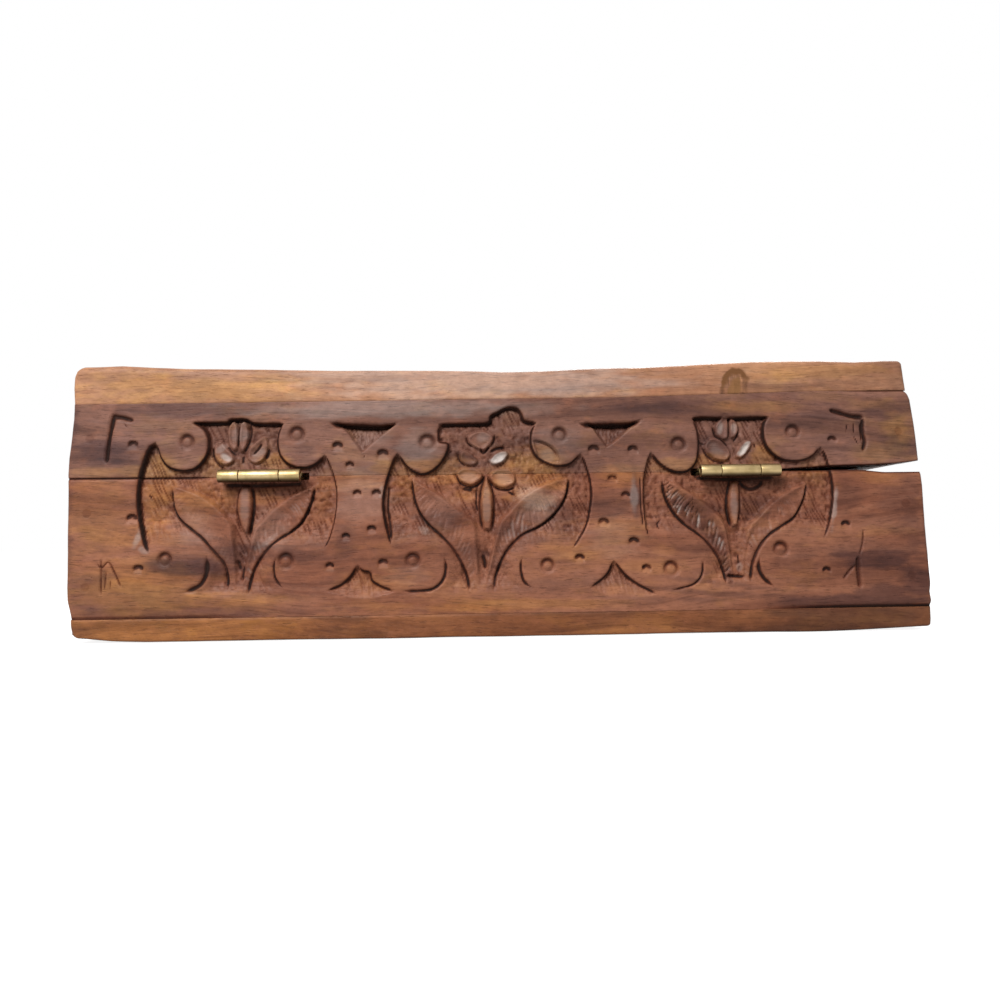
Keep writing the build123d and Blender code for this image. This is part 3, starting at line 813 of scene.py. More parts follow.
middle_motif = {
    "top": [
        (-14.8, 50.2), (-8.8, 50.3), (-3.1, 50.5), (-2.3, 52.1), (-0.5, 53.1), (1.5, 54.1), (3.6, 54),
        (4.8, 52.8), (5.6, 51), (8.6, 50.3),
    ],
    "upper_right": [
        (8.6, 50.3), (7.4, 48.3), (7.1, 46), (7.4, 43.9), (8.6, 42), (10.8, 40.6), (13.5, 39.8),
        (16.1, 40.2), (17.8, 41.5), (19, 43),
    ],
    "right_crescent": [
        (19, 43), (20.1, 39.9), (21, 36.6), (21.3, 32.9), (20.8, 29.2), (19.8, 25.5), (18, 22.4),
        (16.3, 19.9),
    ],
    "lower_right": [
        (16.3, 19.9), (12.1, 20.9), (8.7, 20.8), (5.7, 20), (4.4, 17.6), (4.3, 15.2), (4.9, 12.9),
        (6.3, 11.6), (7.8, 11),
    ],
    "foot": [(3.3, 9.8), (-11.5, 9.5)],
    "lower_left": [
        (-18, 11), (-15.4, 11.9), (-13.8, 13.8), (-13.2, 16.6), (-13.8, 19.4), (-15.4, 21.3),
        (-18.5, 22.1), (-22.5, 21.6), (-26, 21.2),
    ],
    "left_crescent": [
        (-26, 21.2), (-26.7, 23.9), (-27.4, 26.8), (-27.9, 30.3), (-27.8, 33.7), (-27, 37.1),
        (-25.9, 40.5), (-24.6, 43.5),
    ],
    "upper_left": [
        (-24.6, 43.5), (-23.2, 41.2), (-21.4, 39.3), (-18.9, 38.2), (-16.5, 38.9), (-14.2, 41),
        (-12.8, 43.6), (-12.7, 45.4), (-14.6, 45.9), (-14.8, 47.4), (-14.8, 50.2),
    ],
    "left_leaf": (
        [
            (-21.3, 37.5), (-21, 34.5), (-20.3, 31.2), (-18.9, 28.3), (-16.9, 25.9), (-14.3, 23.6),
            (-11.9, 21), (-10.2, 18.3), (-9, 15.8), (-8.2, 13.3), (-7.8, 10.3),
        ],
        [(-21.3, 37.5), (-18.5, 36.3), (-14.5, 34.2), (-11, 31.5), (-8, 29), (-5.4, 26), (-4.9, 10.3)],
    ),
    "right_leaf": (
        [
            (16.1, 37.3), (15.8, 34.6), (15, 32), (13.6, 29.7), (11.2, 27.2), (8.2, 25.2), (5.1, 23.8),
            (2.6, 21.7), (0.6, 19.2), (-0.7, 16.6), (-1.7, 13.8), (-2.2, 10.5),
        ],
        [(16.1, 37.3), (12.5, 37.1), (8, 35.6), (4, 33), (0.8, 29.5), (-1.8, 25.5), (-5, 10.5)],
    ),
    "stem": (
        [(-3.7, 38.2), (-4.7, 35), (-5.2, 31.5), (-5.1, 28), (-4.4, 24.2)],
        [(-3.6, 38.2), (-2.4, 35.2), (-1.8, 32), (-1.9, 28.5), (-2.4, 24.4)],
    ),
    "petals": [
        [
            (-8, 47.2), (-6, 48.4), (-3.6, 48.3), (-1.8, 47), (-2.3, 45.2), (-4.2, 43.7), (-6.3, 44.5),
            (-7.8, 45.7),
        ],
        [(-9.9, 43.3), (-8.6, 44), (-6.8, 42.9), (-5.5, 41.3), (-6.4, 40.2), (-8.3, 40.3), (-9.8, 41.6)],
        [(-2.7, 41.6), (-1.2, 43.2), (1, 43.7), (1.9, 42.8), (0.8, 41.2), (-0.8, 40.3), (-2.4, 40.4)],
        [
            (-10.7, 38.8), (-8.8, 39.8), (-6, 39.6), (-4.5, 38.2), (-5.1, 36.5), (-7.2, 35.5),
            (-9.4, 36.2), (-10.6, 37.5),
        ],
        [
            (-3, 37.9), (-1.2, 39.3), (1.6, 39.2), (3.3, 37.8), (3.1, 35.8), (0.8, 34.7), (-1.2, 35.2),
            (-2.6, 36.6),
        ],
    ],
    "creases": [
        ([(-5, 44.6), (-4.2, 43.1), (-2.6, 45)], 0.9, 0.5),
        ([(-2.8, 43.2), (-1, 44.2), (1.2, 44.4)], 1.3, 0.7),
        ([(-10.9, 38.4), (-9.7, 36), (-7.2, 35), (-5, 36), (-3.9, 37.9)], 0.9, 0.5),
        ([(-2.9, 36.4), (-1.2, 34.7), (1.2, 34.2), (3.4, 35)], 0.9, 0.5),
        ([(-9.5, 34.8), (-6.6, 34.3)], 1.8, 0.5), ([(-8.2, 47.5), (-8, 45.8), (-6.6, 44.4)], 0.8, 0.4),
        ([(-1.5, 47.8), (-1.7, 46), (-2.4, 45)], 0.8, 0.4),
        ([(-10.2, 43.4), (-10, 41.5), (-8.4, 40)], 0.7, 0.4), ([(1.2, 34.2), (3.3, 32.8)], 1.2, 0.5),
        ([(-5.8, 36), (-6, 32), (-5.8, 29)], 0.7, 0.4),
    ],
    "lower_arcs": [
        ([(-24, 10.9), (-18, 11), (-15.4, 11.9), (-13.8, 13.8), (-13.3, 16.6), (-13.8, 19.4)], 1.1),
        ([(5.1, 19.2), (4.4, 17.6), (4.3, 15.2), (4.9, 12.9), (6.3, 11.6), (7.8, 11)], 1.1),
    ],
    "notches": [([(-4.8, 19.6), (-4.3, 18), (-4, 15.4)], 1.7, 0.5)],
    "strokes": (0.2, 0.45),
    "stem_cuts": (0.9, 0.9),
    "widths": (1.1, 0.8, 1.0, 0.9),
}
right_motif = {
    "top": [(45.8, 51.1), (49.2, 51.3), (55.1, 51), (61, 51.2), (64.9, 51.2)],
    "upper_right": [
        (64.9, 51.2), (63.5, 49.7), (63.1, 47.4), (63.4, 45), (64.6, 42.9), (66.6, 41.2), (69.1, 40.4),
        (71.9, 40.4), (74.8, 41.5), (77, 43.9),
    ],
    "right_crescent": [
        (77, 43.9), (78, 41.4), (78.8, 38.1), (79.3, 34.6), (79.1, 31), (78.5, 27.7), (77.6, 24.6),
        (76.2, 21.5),
    ],
    "lower_right": [
        (76.2, 21.5), (72.1, 22.1), (67.2, 22.4), (63.6, 21.4), (61.5, 19.7), (60.6, 17.5), (60.5, 15.2),
        (61.4, 13), (62.9, 11.5), (64.7, 10.3),
    ],
    "foot": [(60.5, 9.7), (51.6, 9.6)],
    "lower_left": [
        (40.8, 10.4), (44.2, 11.2), (46.4, 12.7), (47.2, 15.3), (47, 18.2), (45.4, 20.6), (42.1, 22),
        (38.2, 21.9), (34.8, 22),
    ],
    "left_crescent": [
        (34.8, 22), (34.1, 25.1), (33.8, 28.5), (33.7, 32.4), (33.9, 36.3), (34.6, 39.6), (35.7, 43.1),
    ],
    "upper_left": [
        (35.7, 43.1), (37.4, 40.6), (39.5, 38.9), (42.1, 38), (44.6, 38.3), (46.5, 40.1), (47.2, 42.6),
        (47.4, 46.1), (46.9, 49.1), (45.8, 51.1),
    ],
    "left_leaf": (
        [
            (38.5, 36.8), (38.8, 33.5), (39.8, 30.5), (41.4, 27.7), (43.7, 25.3), (46.3, 23.4),
            (48.6, 21.3), (50.5, 18.8), (51.7, 16.3), (52.4, 13.8), (52.7, 11),
        ],
        [(38.5, 36.8), (42.5, 35.6), (46.8, 33), (50.5, 30), (54, 25), (55.3, 11)],
    ),
    "right_leaf": (
        [
            (73.4, 35.5), (72.8, 32.3), (71.4, 29.2), (69.5, 26.6), (66.5, 24.8), (63.5, 22.9),
            (61.3, 20.6), (59.8, 18), (58.9, 15.3), (58.4, 11.5),
        ],
        [(73.4, 35.5), (70, 34.6), (66.5, 33), (63.5, 30.8), (60.8, 28), (57.6, 24), (55.6, 11.5)],
    ),
    "stem": (
        [(55.4, 37.6), (54.4, 34.2), (53.8, 31), (54, 27.8), (54.8, 24)],
        [(56.4, 37.6), (57.1, 34.5), (57.1, 31), (56.9, 28), (56.3, 25)],
    ),
    "petals": [
        [
            (52, 49.8), (53.6, 51.3), (54.9, 50.8), (55.1, 48.5), (54.8, 46.2), (53.4, 45.8),
            (52.1, 47.1), (51.6, 48.6),
        ],
        [(55.3, 50.9), (56.6, 50.7), (57.5, 49), (57.3, 47.3), (56, 46.1), (55.3, 46.4), (55.2, 48.6)],
        [
            (49.1, 45), (50.6, 46.3), (52.8, 45.9), (54.6, 44.2), (55.3, 42.3), (54.2, 40.7),
            (51.8, 40.9), (49.8, 42.3), (48.9, 43.7),
        ],
        [
            (56.2, 41.4), (56.9, 43.3), (58.4, 45.1), (60.1, 45.6), (60.5, 44.3), (59.4, 42.7),
            (57.8, 41.2),
        ],
    ],
    "creases": [
        ([(51.4, 49), (51.8, 46.9), (53.3, 45.6), (54.8, 44)], 1.0, 0.6),
        ([(55.1, 50.8), (55.1, 46.2)], 0.7, 0.4), ([(57.6, 48.8), (57.2, 46.8), (55.9, 45)], 0.8, 0.4),
        ([(48.5, 44.2), (49.6, 41.9), (51.8, 40.5), (54, 40.2)], 0.9, 0.5),
        ([(47.3, 46.8), (48, 45.2), (49.6, 44.6)], 0.8, 0.4), ([(60.9, 45.2), (61.6, 43.4)], 0.9, 0.4),
    ],
    "lower_arcs": [
        ([(38.8, 10.2), (42, 10.7), (45, 11.6), (46.6, 13.2), (47.2, 15.3), (47, 18.2)], 0.8),
        ([(60.9, 18.3), (60.5, 15.2), (61.4, 13), (62.9, 11.5), (64.7, 10.3)], 1.7),
    ],
    "notches": [([(55.8, 18.6), (56, 17), (56.1, 15.6)], 0.9, 0.3)],
    "strokes": (0.75, 0.3),
    "stem_cuts": (1.2, 0.7),
    "widths": (0.6, 0.8, 1.2, 1.1),
}

# Between the motifs: the sunk triangles above and below, the half-moon cuts and punched rings
# with their radii, and loose cuts with a width and a depth.
upper_triangles = [
    [
        [(-41.4, 51.6), (-39.5, 50.8), (-36.5, 50.4), (-28.6, 50), (-24.1, 50.8)],
        [(-24.1, 50.8), (-26.1, 49.1), (-29.3, 46.5), (-32.9, 43.2)],
        [(-32.9, 43.2), (-34.8, 45.7), (-37.1, 48.8), (-41.4, 51.6)],
    ],
    [
        [(18.3, 51.1), (19.7, 50.1), (24.7, 49.9), (30.6, 50), (34.5, 51.2)],
        [(34.5, 51.2), (31.1, 48.6), (27.6, 45.6), (25.1, 43.9)],
        [(25.1, 43.9), (23.2, 46.6), (21.5, 49), (18.3, 51.1)],
    ],
]
lower_triangles = [
    [
        [(-41.3, 11.2), (-37.8, 12.5), (-35.3, 14.7), (-33.9, 17.4)],
        [(-33.9, 17.4), (-32.8, 15.9), (-31, 15.3), (-30.4, 13.4), (-27.9, 11.9), (-24.9, 10.8)],
        [(-24.9, 10.8), (-32.3, 9.4), (-41.3, 11.2)],
    ],
    [
        [(20.1, 10.9), (23, 12.8), (25, 14.8), (26.1, 17.7)],
        [(26.1, 17.7), (27.9, 15), (30.9, 12.2), (36.4, 9.2)], [(36.4, 9.2), (28, 8.3), (20.1, 10.9)],
    ],
]
thumbnails = [
    (-86.6, 46, 1.4), (-86.3, 28.7, 1.5), (-84.4, 17, 1.4), (-38.7, 45.2, 1.5), (-35.8, 40.6, 1.2),
    (-28, 43.2, 1.6), (-34, 33.9, 1.2), (-29.5, 33.9, 1.3), (-30.6, 25.5, 1.3), (-36.6, 23.8, 1.2),
    (-40.3, 17, 1.2), (-27.9, 17.6, 1.4), (22.1, 43.7, 1.6), (31.5, 43.6, 1.5), (26.4, 36.7, 1.3),
    (29.5, 32.7, 1.3), (24.1, 26.4, 1.5), (31.1, 21.8, 1.5), (18.2, 18.1, 1.4), (33.9, 15.5, 1.3),
    (79.8, 45.5, 1.3), (81.9, 25.2, 1.3), (76.7, 14.4, 1.2),
]
ring_punches = [
    (-74, 46.5, 1.9), (-48.3, 48, 2.0), (-17.5, 45.7, 2.2), (14, 47.2, 2.0), (42.5, 44.6, 2.0),
    (70.3, 47.4, 1.9), (-78.4, 19, 1.8), (-50.5, 18.3, 2.0), (-21, 18, 1.9), (10.6, 16.4, 1.8),
    (39.7, 15.2, 2.0), (66, 19.4, 2.0),
]
stray_cuts = [
    (
        [
            (-92.6, 41.3), (-92.4, 45.7), (-92, 49.1), (-91.5, 52.2), (-91.2, 52.6), (-90.7, 52.5),
            (-89.1, 52.3), (-86.3, 51.5),
        ],
        1.7, 0.8,
    ),
    ([(79.1, 52.7), (82, 51.9), (84.9, 51), (88.1, 50.8)], 1.9, 0.9),
    ([(87.6, 50.9), (87.3, 47.7), (87.7, 44.8), (86.9, 42.2)], 1.5, 0.8),
    ([(52.5, 13.4), (57.6, 13)], 1.3, 0.8), ([(-83.3, 34.9), (-82.1, 32.5)], 0.8, 0.4),
    ([(-26.6, 36), (-26.9, 30.5), (-26.3, 26), (-26, 22.5)], 1.0, 0.5),
    ([(33, 37.3), (32.9, 31.5), (33.3, 25.1)], 0.6, 0.35), ([(-32.8, 43.5), (-32.1, 41.8)], 0.6, 0.3),
    ([(86.7, 49.8), (86.9, 44.6)], 1.0, 0.35), ([(85.3, 50.2), (85, 46.4)], 0.7, 0.25),
    ([(83.7, 49.8), (83.1, 46.8)], 0.6, 0.2), ([(84.8, 46.6), (86.2, 43.8)], 0.6, 0.2),
    ([(-89.3, 51.3), (-87.5, 49.6)], 0.6, 0.2), ([(58.2, 21.4), (59.6, 19.4)], 0.5, 0.2),
    ([(38, 27), (36.8, 25.6), (37.6, 24)], 0.7, 0.25),
]

# Cuts near the two lower corners of the back, and the plain brackets in the same places in front.
corner_cuts = [
    ([(-93.2, 19.8), (-93.1, 15.2), (-93, 10.8)], 0.9, 0.35),
    ([(-94.6, 18.6), (-93, 17.4), (-91.4, 18.6), (-90, 16.5), (-88, 12.5)], 1.0, 0.3),
    ([(-91.9, 17), (-92.1, 11.8)], 0.9, 0.25), ([(-96.4, 15.6), (-94.6, 14.8)], 0.8, 0.2),
    ([(-90.6, 15), (-90.8, 12)], 0.8, 0.2), ([(86.1, 24.3), (85.7, 20.9), (84.7, 17.5)], 0.8, 0.5),
    ([(84.4, 17.8), (84.3, 14.1), (84.5, 9.6)], 1.7, 0.9),
    ([(84.1, 15.9), (82, 14), (80.3, 11.9)], 1.1, 0.5),
]
front_brackets = [
    ([(-92.6, 20.4), (-92.8, 15), (-92.7, 10.4), (-92.3, 9.9), (-91.6, 9.9), (-87.4, 10.2)], 1.5, 0.7),
    ([(86.2, 20.6), (86.4, 15.2), (86.3, 10.6), (85.9, 10), (85.2, 9.9), (81.4, 10.1)], 1.5, 0.7),
]

# A lobe of the middle motif that was sliced off flat.
facet = [(7.3, 46.2), (9.4, 46.1), (12.4, 44.6), (13.9, 42.2), (13.7, 40.3), (10.5, 40.6), (8.4, 42.3)]


def upper_depth(u, z):
    """An upper triangle: deep under its top edge, rising towards its point."""
    marks = gouge_marks(u - 0.1 * z, z, 0.9, 3.0, 31)
    return 0.75 + 1.1 * ease(z, 44, 50) + 0.35 * marks


def lower_depth(u, z):
    """A lower triangle: deep under its point, running out towards the foot of the board."""
    marks = gouge_marks(u + 0.2 * z, z, 0.9, 2.5, 41)
    return (0.08 + 1.1 * ease(z, 8.3, 14.5)) * (0.8 + 0.35 * marks)


def carve_triangles(carving):
    """The sunk triangles between the motifs."""
    for triangle in upper_triangles:
        carving.sink(outline(*triangle), upper_depth, 0.6, 0.9)
        carving.groove([(u, z - 0.5) for u, z in triangle[0]], 1.9, 1.0, 1.0, 3.0)
    for triangle in lower_triangles:
        carving.sink(outline(*triangle), lower_depth, 0.5, 0.8)
        for edge in triangle[:2]:
            carving.groove(edge, 1.1, 0.5, 0.95)


def carve_marks(carving, reach=(-200, 200)):
    """The punched rings and the half-moon cuts, as far as a face reaches."""
    for u, z, radius in thumbnails:
        if reach[0] < u < reach[1]:
            carving.thumbnail(u, z, radius)
    for u, z, radius in ring_punches:
        if reach[0] < u < reach[1]:
            carving.ring_punch(u, z, radius)


def carve_row(carving):
    """The three motifs with the triangles and the marks between them."""
    for motif in (left_motif, middle_motif, right_motif):
        carve_motif(carving, motif)
    carve_triangles(carving)
    carve_marks(carving)


def carve_long_side(carving):
    """The whole pattern of a long side."""
    carve_row(carving)
    carving.cuts(stray_cuts, 0.95)
    carving.sink(outline(facet), 0.75, 0.5)
    carving.groove([(7.6, 45.9), (10, 45.3), (12.4, 43.8), (13.9, 41.2)], 0.8, 0.4, 0.6)


end_brackets = [
    ([(50.8, 52.4), (51.2, 49), (51.3, 45), (51.0, 41.5)], 1.2, 0.7),
    ([(44.5, 52.2), (47.5, 52.6), (50.8, 52.4)], 1.4, 0.7),
]
end_corner_cut = [([(51.3, 20), (51.5, 15), (51.2, 10)], 1.1, 0.6)]


def carve_end(face):
    """An end has the middle motif alone, with triangles, rings and a bracket on each side."""
    carving = Carving(face, (-middle_stem, 0))
    carve_motif(carving, middle_motif)
    carve_triangles(carving)
    carve_marks(carving, (-42, 36))
    for side in (-1, 1):
        beside = Carving(face, flip=(side, 1))
        beside.ring_punch(44.5, 45.5, 1.9)
        beside.ring_punch(44.5, 17.0, 1.9)
        beside.thumbnail(42.5, 31.0, 1.3)
        beside.thumbnail(48.6, 26.0, 1.2)
        beside.cuts(end_brackets, 0.95)
        beside.cuts(end_corner_cut, 0.9)


# Patches of hue on the back: across, up, reach across, reach up, strength, and sometimes a turn.
warm_patches = [
    (-84, 12, 24, 9, 0.75), (11, 42.6, 3.4, 2.6, 1.0), (-94, 29, 10, 9, 0.5), (8, 32, 6, 3, 1.0),
    (-7.6, 37.4, 4, 2.5, 0.8), (0.4, 37, 4, 2.5, 0.8), (-3.6, 31, 2, 7, 0.6), (-72, 30, 7, 5, 0.4),
    (51.5, 41.5, 4, 1.5, 0.5), (-80.5, 35, 5, 14, 0.9), (-71, 33, 8, 5, 0.8), (-64.5, 33, 4, 4, 0.7),
    (-55.5, 33.5, 5, 3, 0.6), (-53, 42, 5, 3, 1.0), (-68.5, 41, 4, 4, 0.7), (-42, 34, 3, 7, 0.5),
    (-34, 37, 9, 4, 0.6), (-23, 38, 4, 5, 0.9), (-13, 38.5, 8, 5, 0.9), (8, 40.5, 9, 5, 1.0),
    (10, 37, 8, 4, 0.9), (10.5, 43, 4, 4, 1.0), (-8, 34, 4, 3, 0.6), (6, 33, 7, 4, 0.7),
    (28, 38, 8, 4, 0.6), (41, 39.5, 7, 2.5, 0.7), (49, 40.8, 4, 2, 1.0), (63, 42, 4, 3.5, 1.0),
    (75, 38, 5, 4, 0.5), (92, 36.5, 9, 2.5, 0.4), (90, 36.5, 9, 2, 0.5), (96, 47, 5, 7, 0.7),
    (-95, 33, 9, 8, 0.35), (-91, 24, 9, 5, 0.3), (0, 7.5, 35, 2, 0.7), (-86, 39.6, 17, 2, 0.8),
    (92, 42, 11, 3, 0.7), (60, 53.5, 15, 2, 0.6), (-28, 40, 4, 3, 0.8), (-19, 40.5, 5, 2, 0.8),
    (20, 19, 12, 4, 0.4), (28, 24, 8, 5, 0.5), (-78, 24, 7, 3, 0.4), (41, 40.2, 10, 1.6, 0.6),
    (90, 54, 9, 2, 0.5), (34, 16, 10, 3, 0.4), (-26, 13, 9, 3, 0.4), (-60, 9.5, 16, 2, 0.5),
]
# Most dusky patches are the wood's own streaks; the bands along both ends (-102, 102.5) are painted shade
# where the ends turn away, and (60, 35.6) is painted shadow under the right barrel.
dusk_and_shade_patches = [
    (-102, 22, 2.5, 22, 0.6), (-102, 52, 2.5, 10, 0.6), (102.5, 20, 3, 22, 0.5),
    (-72, 17.3, 17, 3.2, 1.0), (-62, 20, 9, 4, 0.8), (-46, 19.5, 8, 2.5, 0.6), (-37, 22, 4, 6, 0.5),
    (-15, 25, 6, 5, 0.5), (-14, 28, 8, 2.5, 0.5), (3, 25, 8, 2.5, 0.7), (14, 28, 5, 5, 0.6),
    (60, 30, 8, 4, 0.6), (46, 29, 8, 4, 0.6), (82, 31, 5, 6, 0.5), (94, 31, 6, 4, 0.5),
    (88, 17, 14, 3.5, 0.9), (98, 12, 6, 6, 0.9), (-95, 13.5, 9, 4, 0.6), (82, 7, 30, 2.2, 0.9),
    (-7, 19, 5, 3, 0.5), (-94, 44, 10, 4, 0.8), (-75, 54, 26, 3, 0.6), (35, 53.5, 16, 2.5, 0.6),
    (-22, 43.5, 7, 3, 0.5), (-96, 9, 8, 3, 0.6), (98, 28, 4, 14, 0.5), (97, 44, 7, 4, 0.6),
    (94, 52, 10, 3, 0.6), (-70, 7, 38, 2, 0.6), (26, 30, 7, 2.5, 0.4), (70, 16, 8, 3, 0.4),
    (47, 20, 8, 2, 0.5), (90, 9, 12, 3, 0.8), (31.8, 33, 1.6, 8, 0.8), (-25, 24, 3, 4, 0.4),
    (12, 12, 14, 2, 0.4), (76, 50, 12, 3, 0.4), (52, 46, 5, 6, 0.4), (-94, 28, 10, 9, 0.36),
    (-84, 9, 26, 7, 0.5), (93, 16.6, 8, 2.6, 1.0), (96, 24, 6, 2, 0.5), (-92.6, 15, 1.5, 4, 0.7),
    (-90, 15.6, 2.4, 1.2, 0.4), (47, 9.6, 26, 0.8, 0.5, -0.1), (52, 11.6, 24, 0.7, 0.4, -0.13),
    (40, 8.2, 22, 0.7, 0.35, -0.04), (66, 8.4, 20, 0.7, 0.5, -0.08), (-60, 10.2, 22, 0.8, 0.3),
    (18, 7.6, 20, 0.7, 0.3), (-48, 44, 4.5, 3.5, 0.32), (86.4, 49.4, 2.4, 2.2, 0.7),
    (60, 35.6, 3.2, 1.6, 0.8),
]
# Pale patches: weak ones are the wood's own grey-tan; strong ones are painted highlights on lit facets of
# petals, crescents and a notch, and (-30, 54) and (0, 53.5) are painted sheen along the rail's upper part.
pale_and_highlight_patches = [
    (-65, 42.6, 2.2, 1.0, 0.55, -0.7), (-66.3, 44.8, 1.8, 1.0, 0.22, 0.8),
    (-57.6, 43.6, 2.6, 1.4, 0.18, 0.7), (-61.8, 48.5, 2.5, 3.2, 0.14), (-7.6, 37.4, 3, 1.8, 0.16),
    (0.4, 37, 3, 1.8, 0.16), (-3.6, 31, 1.2, 6, 0.14), (55.4, 30, 1.2, 6, 0.16),
    (-60.4, 31, 1.4, 6, 0.12), (51.8, 43.4, 3, 1.6, 0.12, -0.6), (-0.5, 41.8, 2.6, 1.4, 1.0, 0.4),
    (58.6, 43.6, 2.7, 1.0, 1.0, 0.95), (-84.7, 24, 3, 1.2, 0.3, 1.2), (-83.4, 21.4, 1.6, 1.0, 0.25, -0.6),
    (79.3, 29, 6.5, 0.8, 0.32, 1.4), (31.4, 33, 6, 1.1, 0.2, 1.57), (-18.4, 24.8, 2.0, 1.2, 0.2, -0.8),
    (-54.6, 23.2, 3.2, 1.0, 0.2, 0.7), (53, 48.8, 2.0, 1.0, 0.3, 1.4), (56.2, 48.6, 1.8, 0.9, 0.3, 1.5),
    (56.2, 15.4, 1.8, 0.9, 0.3, 1.5), (-28.3, 34, 2.6, 0.8, 0.25, 1.5), (-4.5, 46.8, 2, 1.4, 0.15),
    (-30, 54, 40, 3, 0.2), (11, 42.6, 3, 2.2, 0.12), (-32, 33, 9, 8, 0.1), (26, 23, 9, 6, 0.07),
    (8, 31, 7, 7, 0.1), (-33, 36, 6, 2, 0.12), (-20, 45, 7, 5, 0.12), (-14, 29, 6, 5, 0.04),
    (8, 32, 6, 4, 0.25), (-30, 47, 6, 4, 0.08), (14, 46, 9, 6, 0.06), (-72, 26, 6, 6, 0.08),
    (-55, 26, 7, 7, 0.08), (0, 53.5, 22, 2.5, 0.1), (-22, 14.5, 7, 3, 0.05),
]


def tint_long_side(face):
    """Worn golden patches along the seam, dusky streaks with some painted shade, and pale spots that are
    partly grey-tan wood and partly painted highlights and sheen.
    """
    for layer, patches in (("warm", warm_patches), ("dusk", dusk_and_shade_patches), ("pale", pale_and_highlight_patches)):
        for patch in patches:
            face.tint(layer, *patch)


def wall_face(across, low, high, step):
    """A face whose lower and upper edges may climb or step along the board."""
    low = np.zeros(across.size) + low
    high = np.zeros(across.size) + high
    height = np.max(high) - np.min(low)
    share = (stations(0, height, step) / height)[:, None]
    return Face(across, low + (high - low) * share)


def board(name, face, thickness, axes, origin, cut=None, back_low=None, back_high=None, bend=None):
    """A board on edge: its carved face, then round over its upper edge, its back and its lower edge."""
    low = face.z[0]
    high = face.z[-1]
    back_low = low if back_low is None else back_low + 0 * low
    back_high = high if back_high is None else back_high + 0 * high
    rows = [
        (thickness - arris, back_high), (thickness, back_high - arris),
        (thickness, back_low + arris), (thickness - arris, back_low),
    ]
    if cut:
        rows = [(cut, high), (cut + arris, back_high), *rows, (cut + arris, back_low), (cut, low)]
    v = np.concatenate([face.z] + [row[1][None, :] for row in rows])
    w = -np.concatenate([face.depth] + [np.zeros((1, low.size)) + row[0] for row in rows])
    u = np.zeros(v.shape) + face.u[0]
    if bend is not None:
        u = bend(u, v)
    return tube(name, face, u, v, w, axes, origin)


def open_joint(face, distance, deep, depth, width):
    """A glue line that has opened where deep is 1: a dark V along an edge."""
    share = ease(distance, width, 0.0) * deep
    face.depth += depth * share
    face.darken(ease(distance, width * 0.8, width * 0.2) * deep)


middle_stem = -3.6
carve_step = 0.28
hidden_step = 0.36
facing_back = ((-1, 0, 0), (0, 0, 1), (0, 1, 0))
facing_front = ((1, 0, 0), (0, 0, 1), (0, -1, 0))
facing_right = ((0, 1, 0), (0, 0, 1), (1, 0, 0))
facing_left = ((0, -1, 0), (0, 0, 1), (-1, 0, 0))
wall_low, wall_high = span_mm("base_back_wall")
wall_thickness = wall_high[1] - wall_low[1]
half_length = wall_high[0]
back_y = wall_high[1]
leaf_low, leaf_high = span_mm("left_hinge_base_leaf")
hinge_half = (leaf_high[0] - leaf_low[0]) / 2
hinge_x = -(leaf_high[0] + leaf_low[0]) / 2
barrel_radius = 1.5
leaf_thickness = 0.8
play = 0.05
gain_floor = leaf_low[2] + barrel_radius - play - leaf_thickness
gain_reach = wall_high[1] - leaf_low[1] + play
gain_spare = 1.5


def gain_edges():
    """Where the two leaf seats start and end, measured across the back."""
    inner = hinge_half + gain_spare
    outer = hinge_half + play
    return [(-hinge_x - outer, -hinge_x + inner), (hinge_x - inner, hinge_x + outer)]


def with_gains(across, level, seat):
    """An edge's height along the board, stepped to the seats of the hinge leaves."""
    edge = np.zeros(across.size) + level
    for start, end in gain_edges():
        edge[(across > start + 0.001) & (across < end - 0.001)] = seat
    return edge


gain_places = [
    place + nudge
    for start, end in gain_edges()
    for place, nudge in ((start, 0), (start, 0.02), (end, -0.02), (end, 0))
]
back_across = stations(-half_length, half_length, carve_step, gain_places)


def tray_rim(across):
    """The height of the tray's rim along the back, worn away towards one end."""
    return wall_high[2] + 0.09 - 0.65 * ease(across, 85, 93)


def side_bend(u, z):
    """The ends of the back, worn out of square."""
    left = between(z, left_end) + 0.12 * hills(z / 5, z * 0)
    right = between(z, right_end) + 0.12 * hills(z / 5 + 3, z * 0)
    return u + left * ease(u, -88, -101.5) - right * ease(u, 88, 101.5)


# Painted shadow: scoops cut below the barrels and darkened as their shadow.
barrel_shadow_scoops = [
    ([(-65.6, 36.2), (-56, 36), (-46.8, 36.3)], 1.7, 0.8),
    ([(46.2, 36.6), (56, 36.2), (66, 36.5)], 1.9, 0.8),
    ([(45.4, 38.9), (46.6, 37.4), (46.4, 36.2)], 1.9, 0.8),
    ([(56.9, 36.6), (58, 34.6), (60, 33.8), (62, 34.6), (63, 36.4)], 1.8, 0.8),
]


def finish_near_hinges(face):
    """Scoops below the barrels, cut in and painted near black as the barrels' shadow. The ground stays
    shallow in front of the hinge screws.
    """
    Carving(face).cuts(barrel_shadow_scoops, 0.95)
    for x in (-hinge_x, hinge_x):
        near = ease(np.abs(face.u - x), 9.5, 8.5) * ease(np.abs(face.z - 38), 9, 7.5)
        face.depth -= np.maximum(face.depth - 1.85, 0) * near


corner_pin_x = half_length - wall_thickness / 2
tray_pin_heights = (12.9, 29.9)
corner_pins = [(x, z) for x in (-corner_pin_x, corner_pin_x) for z in tray_pin_heights]


def filled_pins(face, places):
    """Pins that were punched in and filled over show as faint darker rounds."""
    for u, z in places:
        dent(face, u, z, pin_radius, 0.07, 0.28)


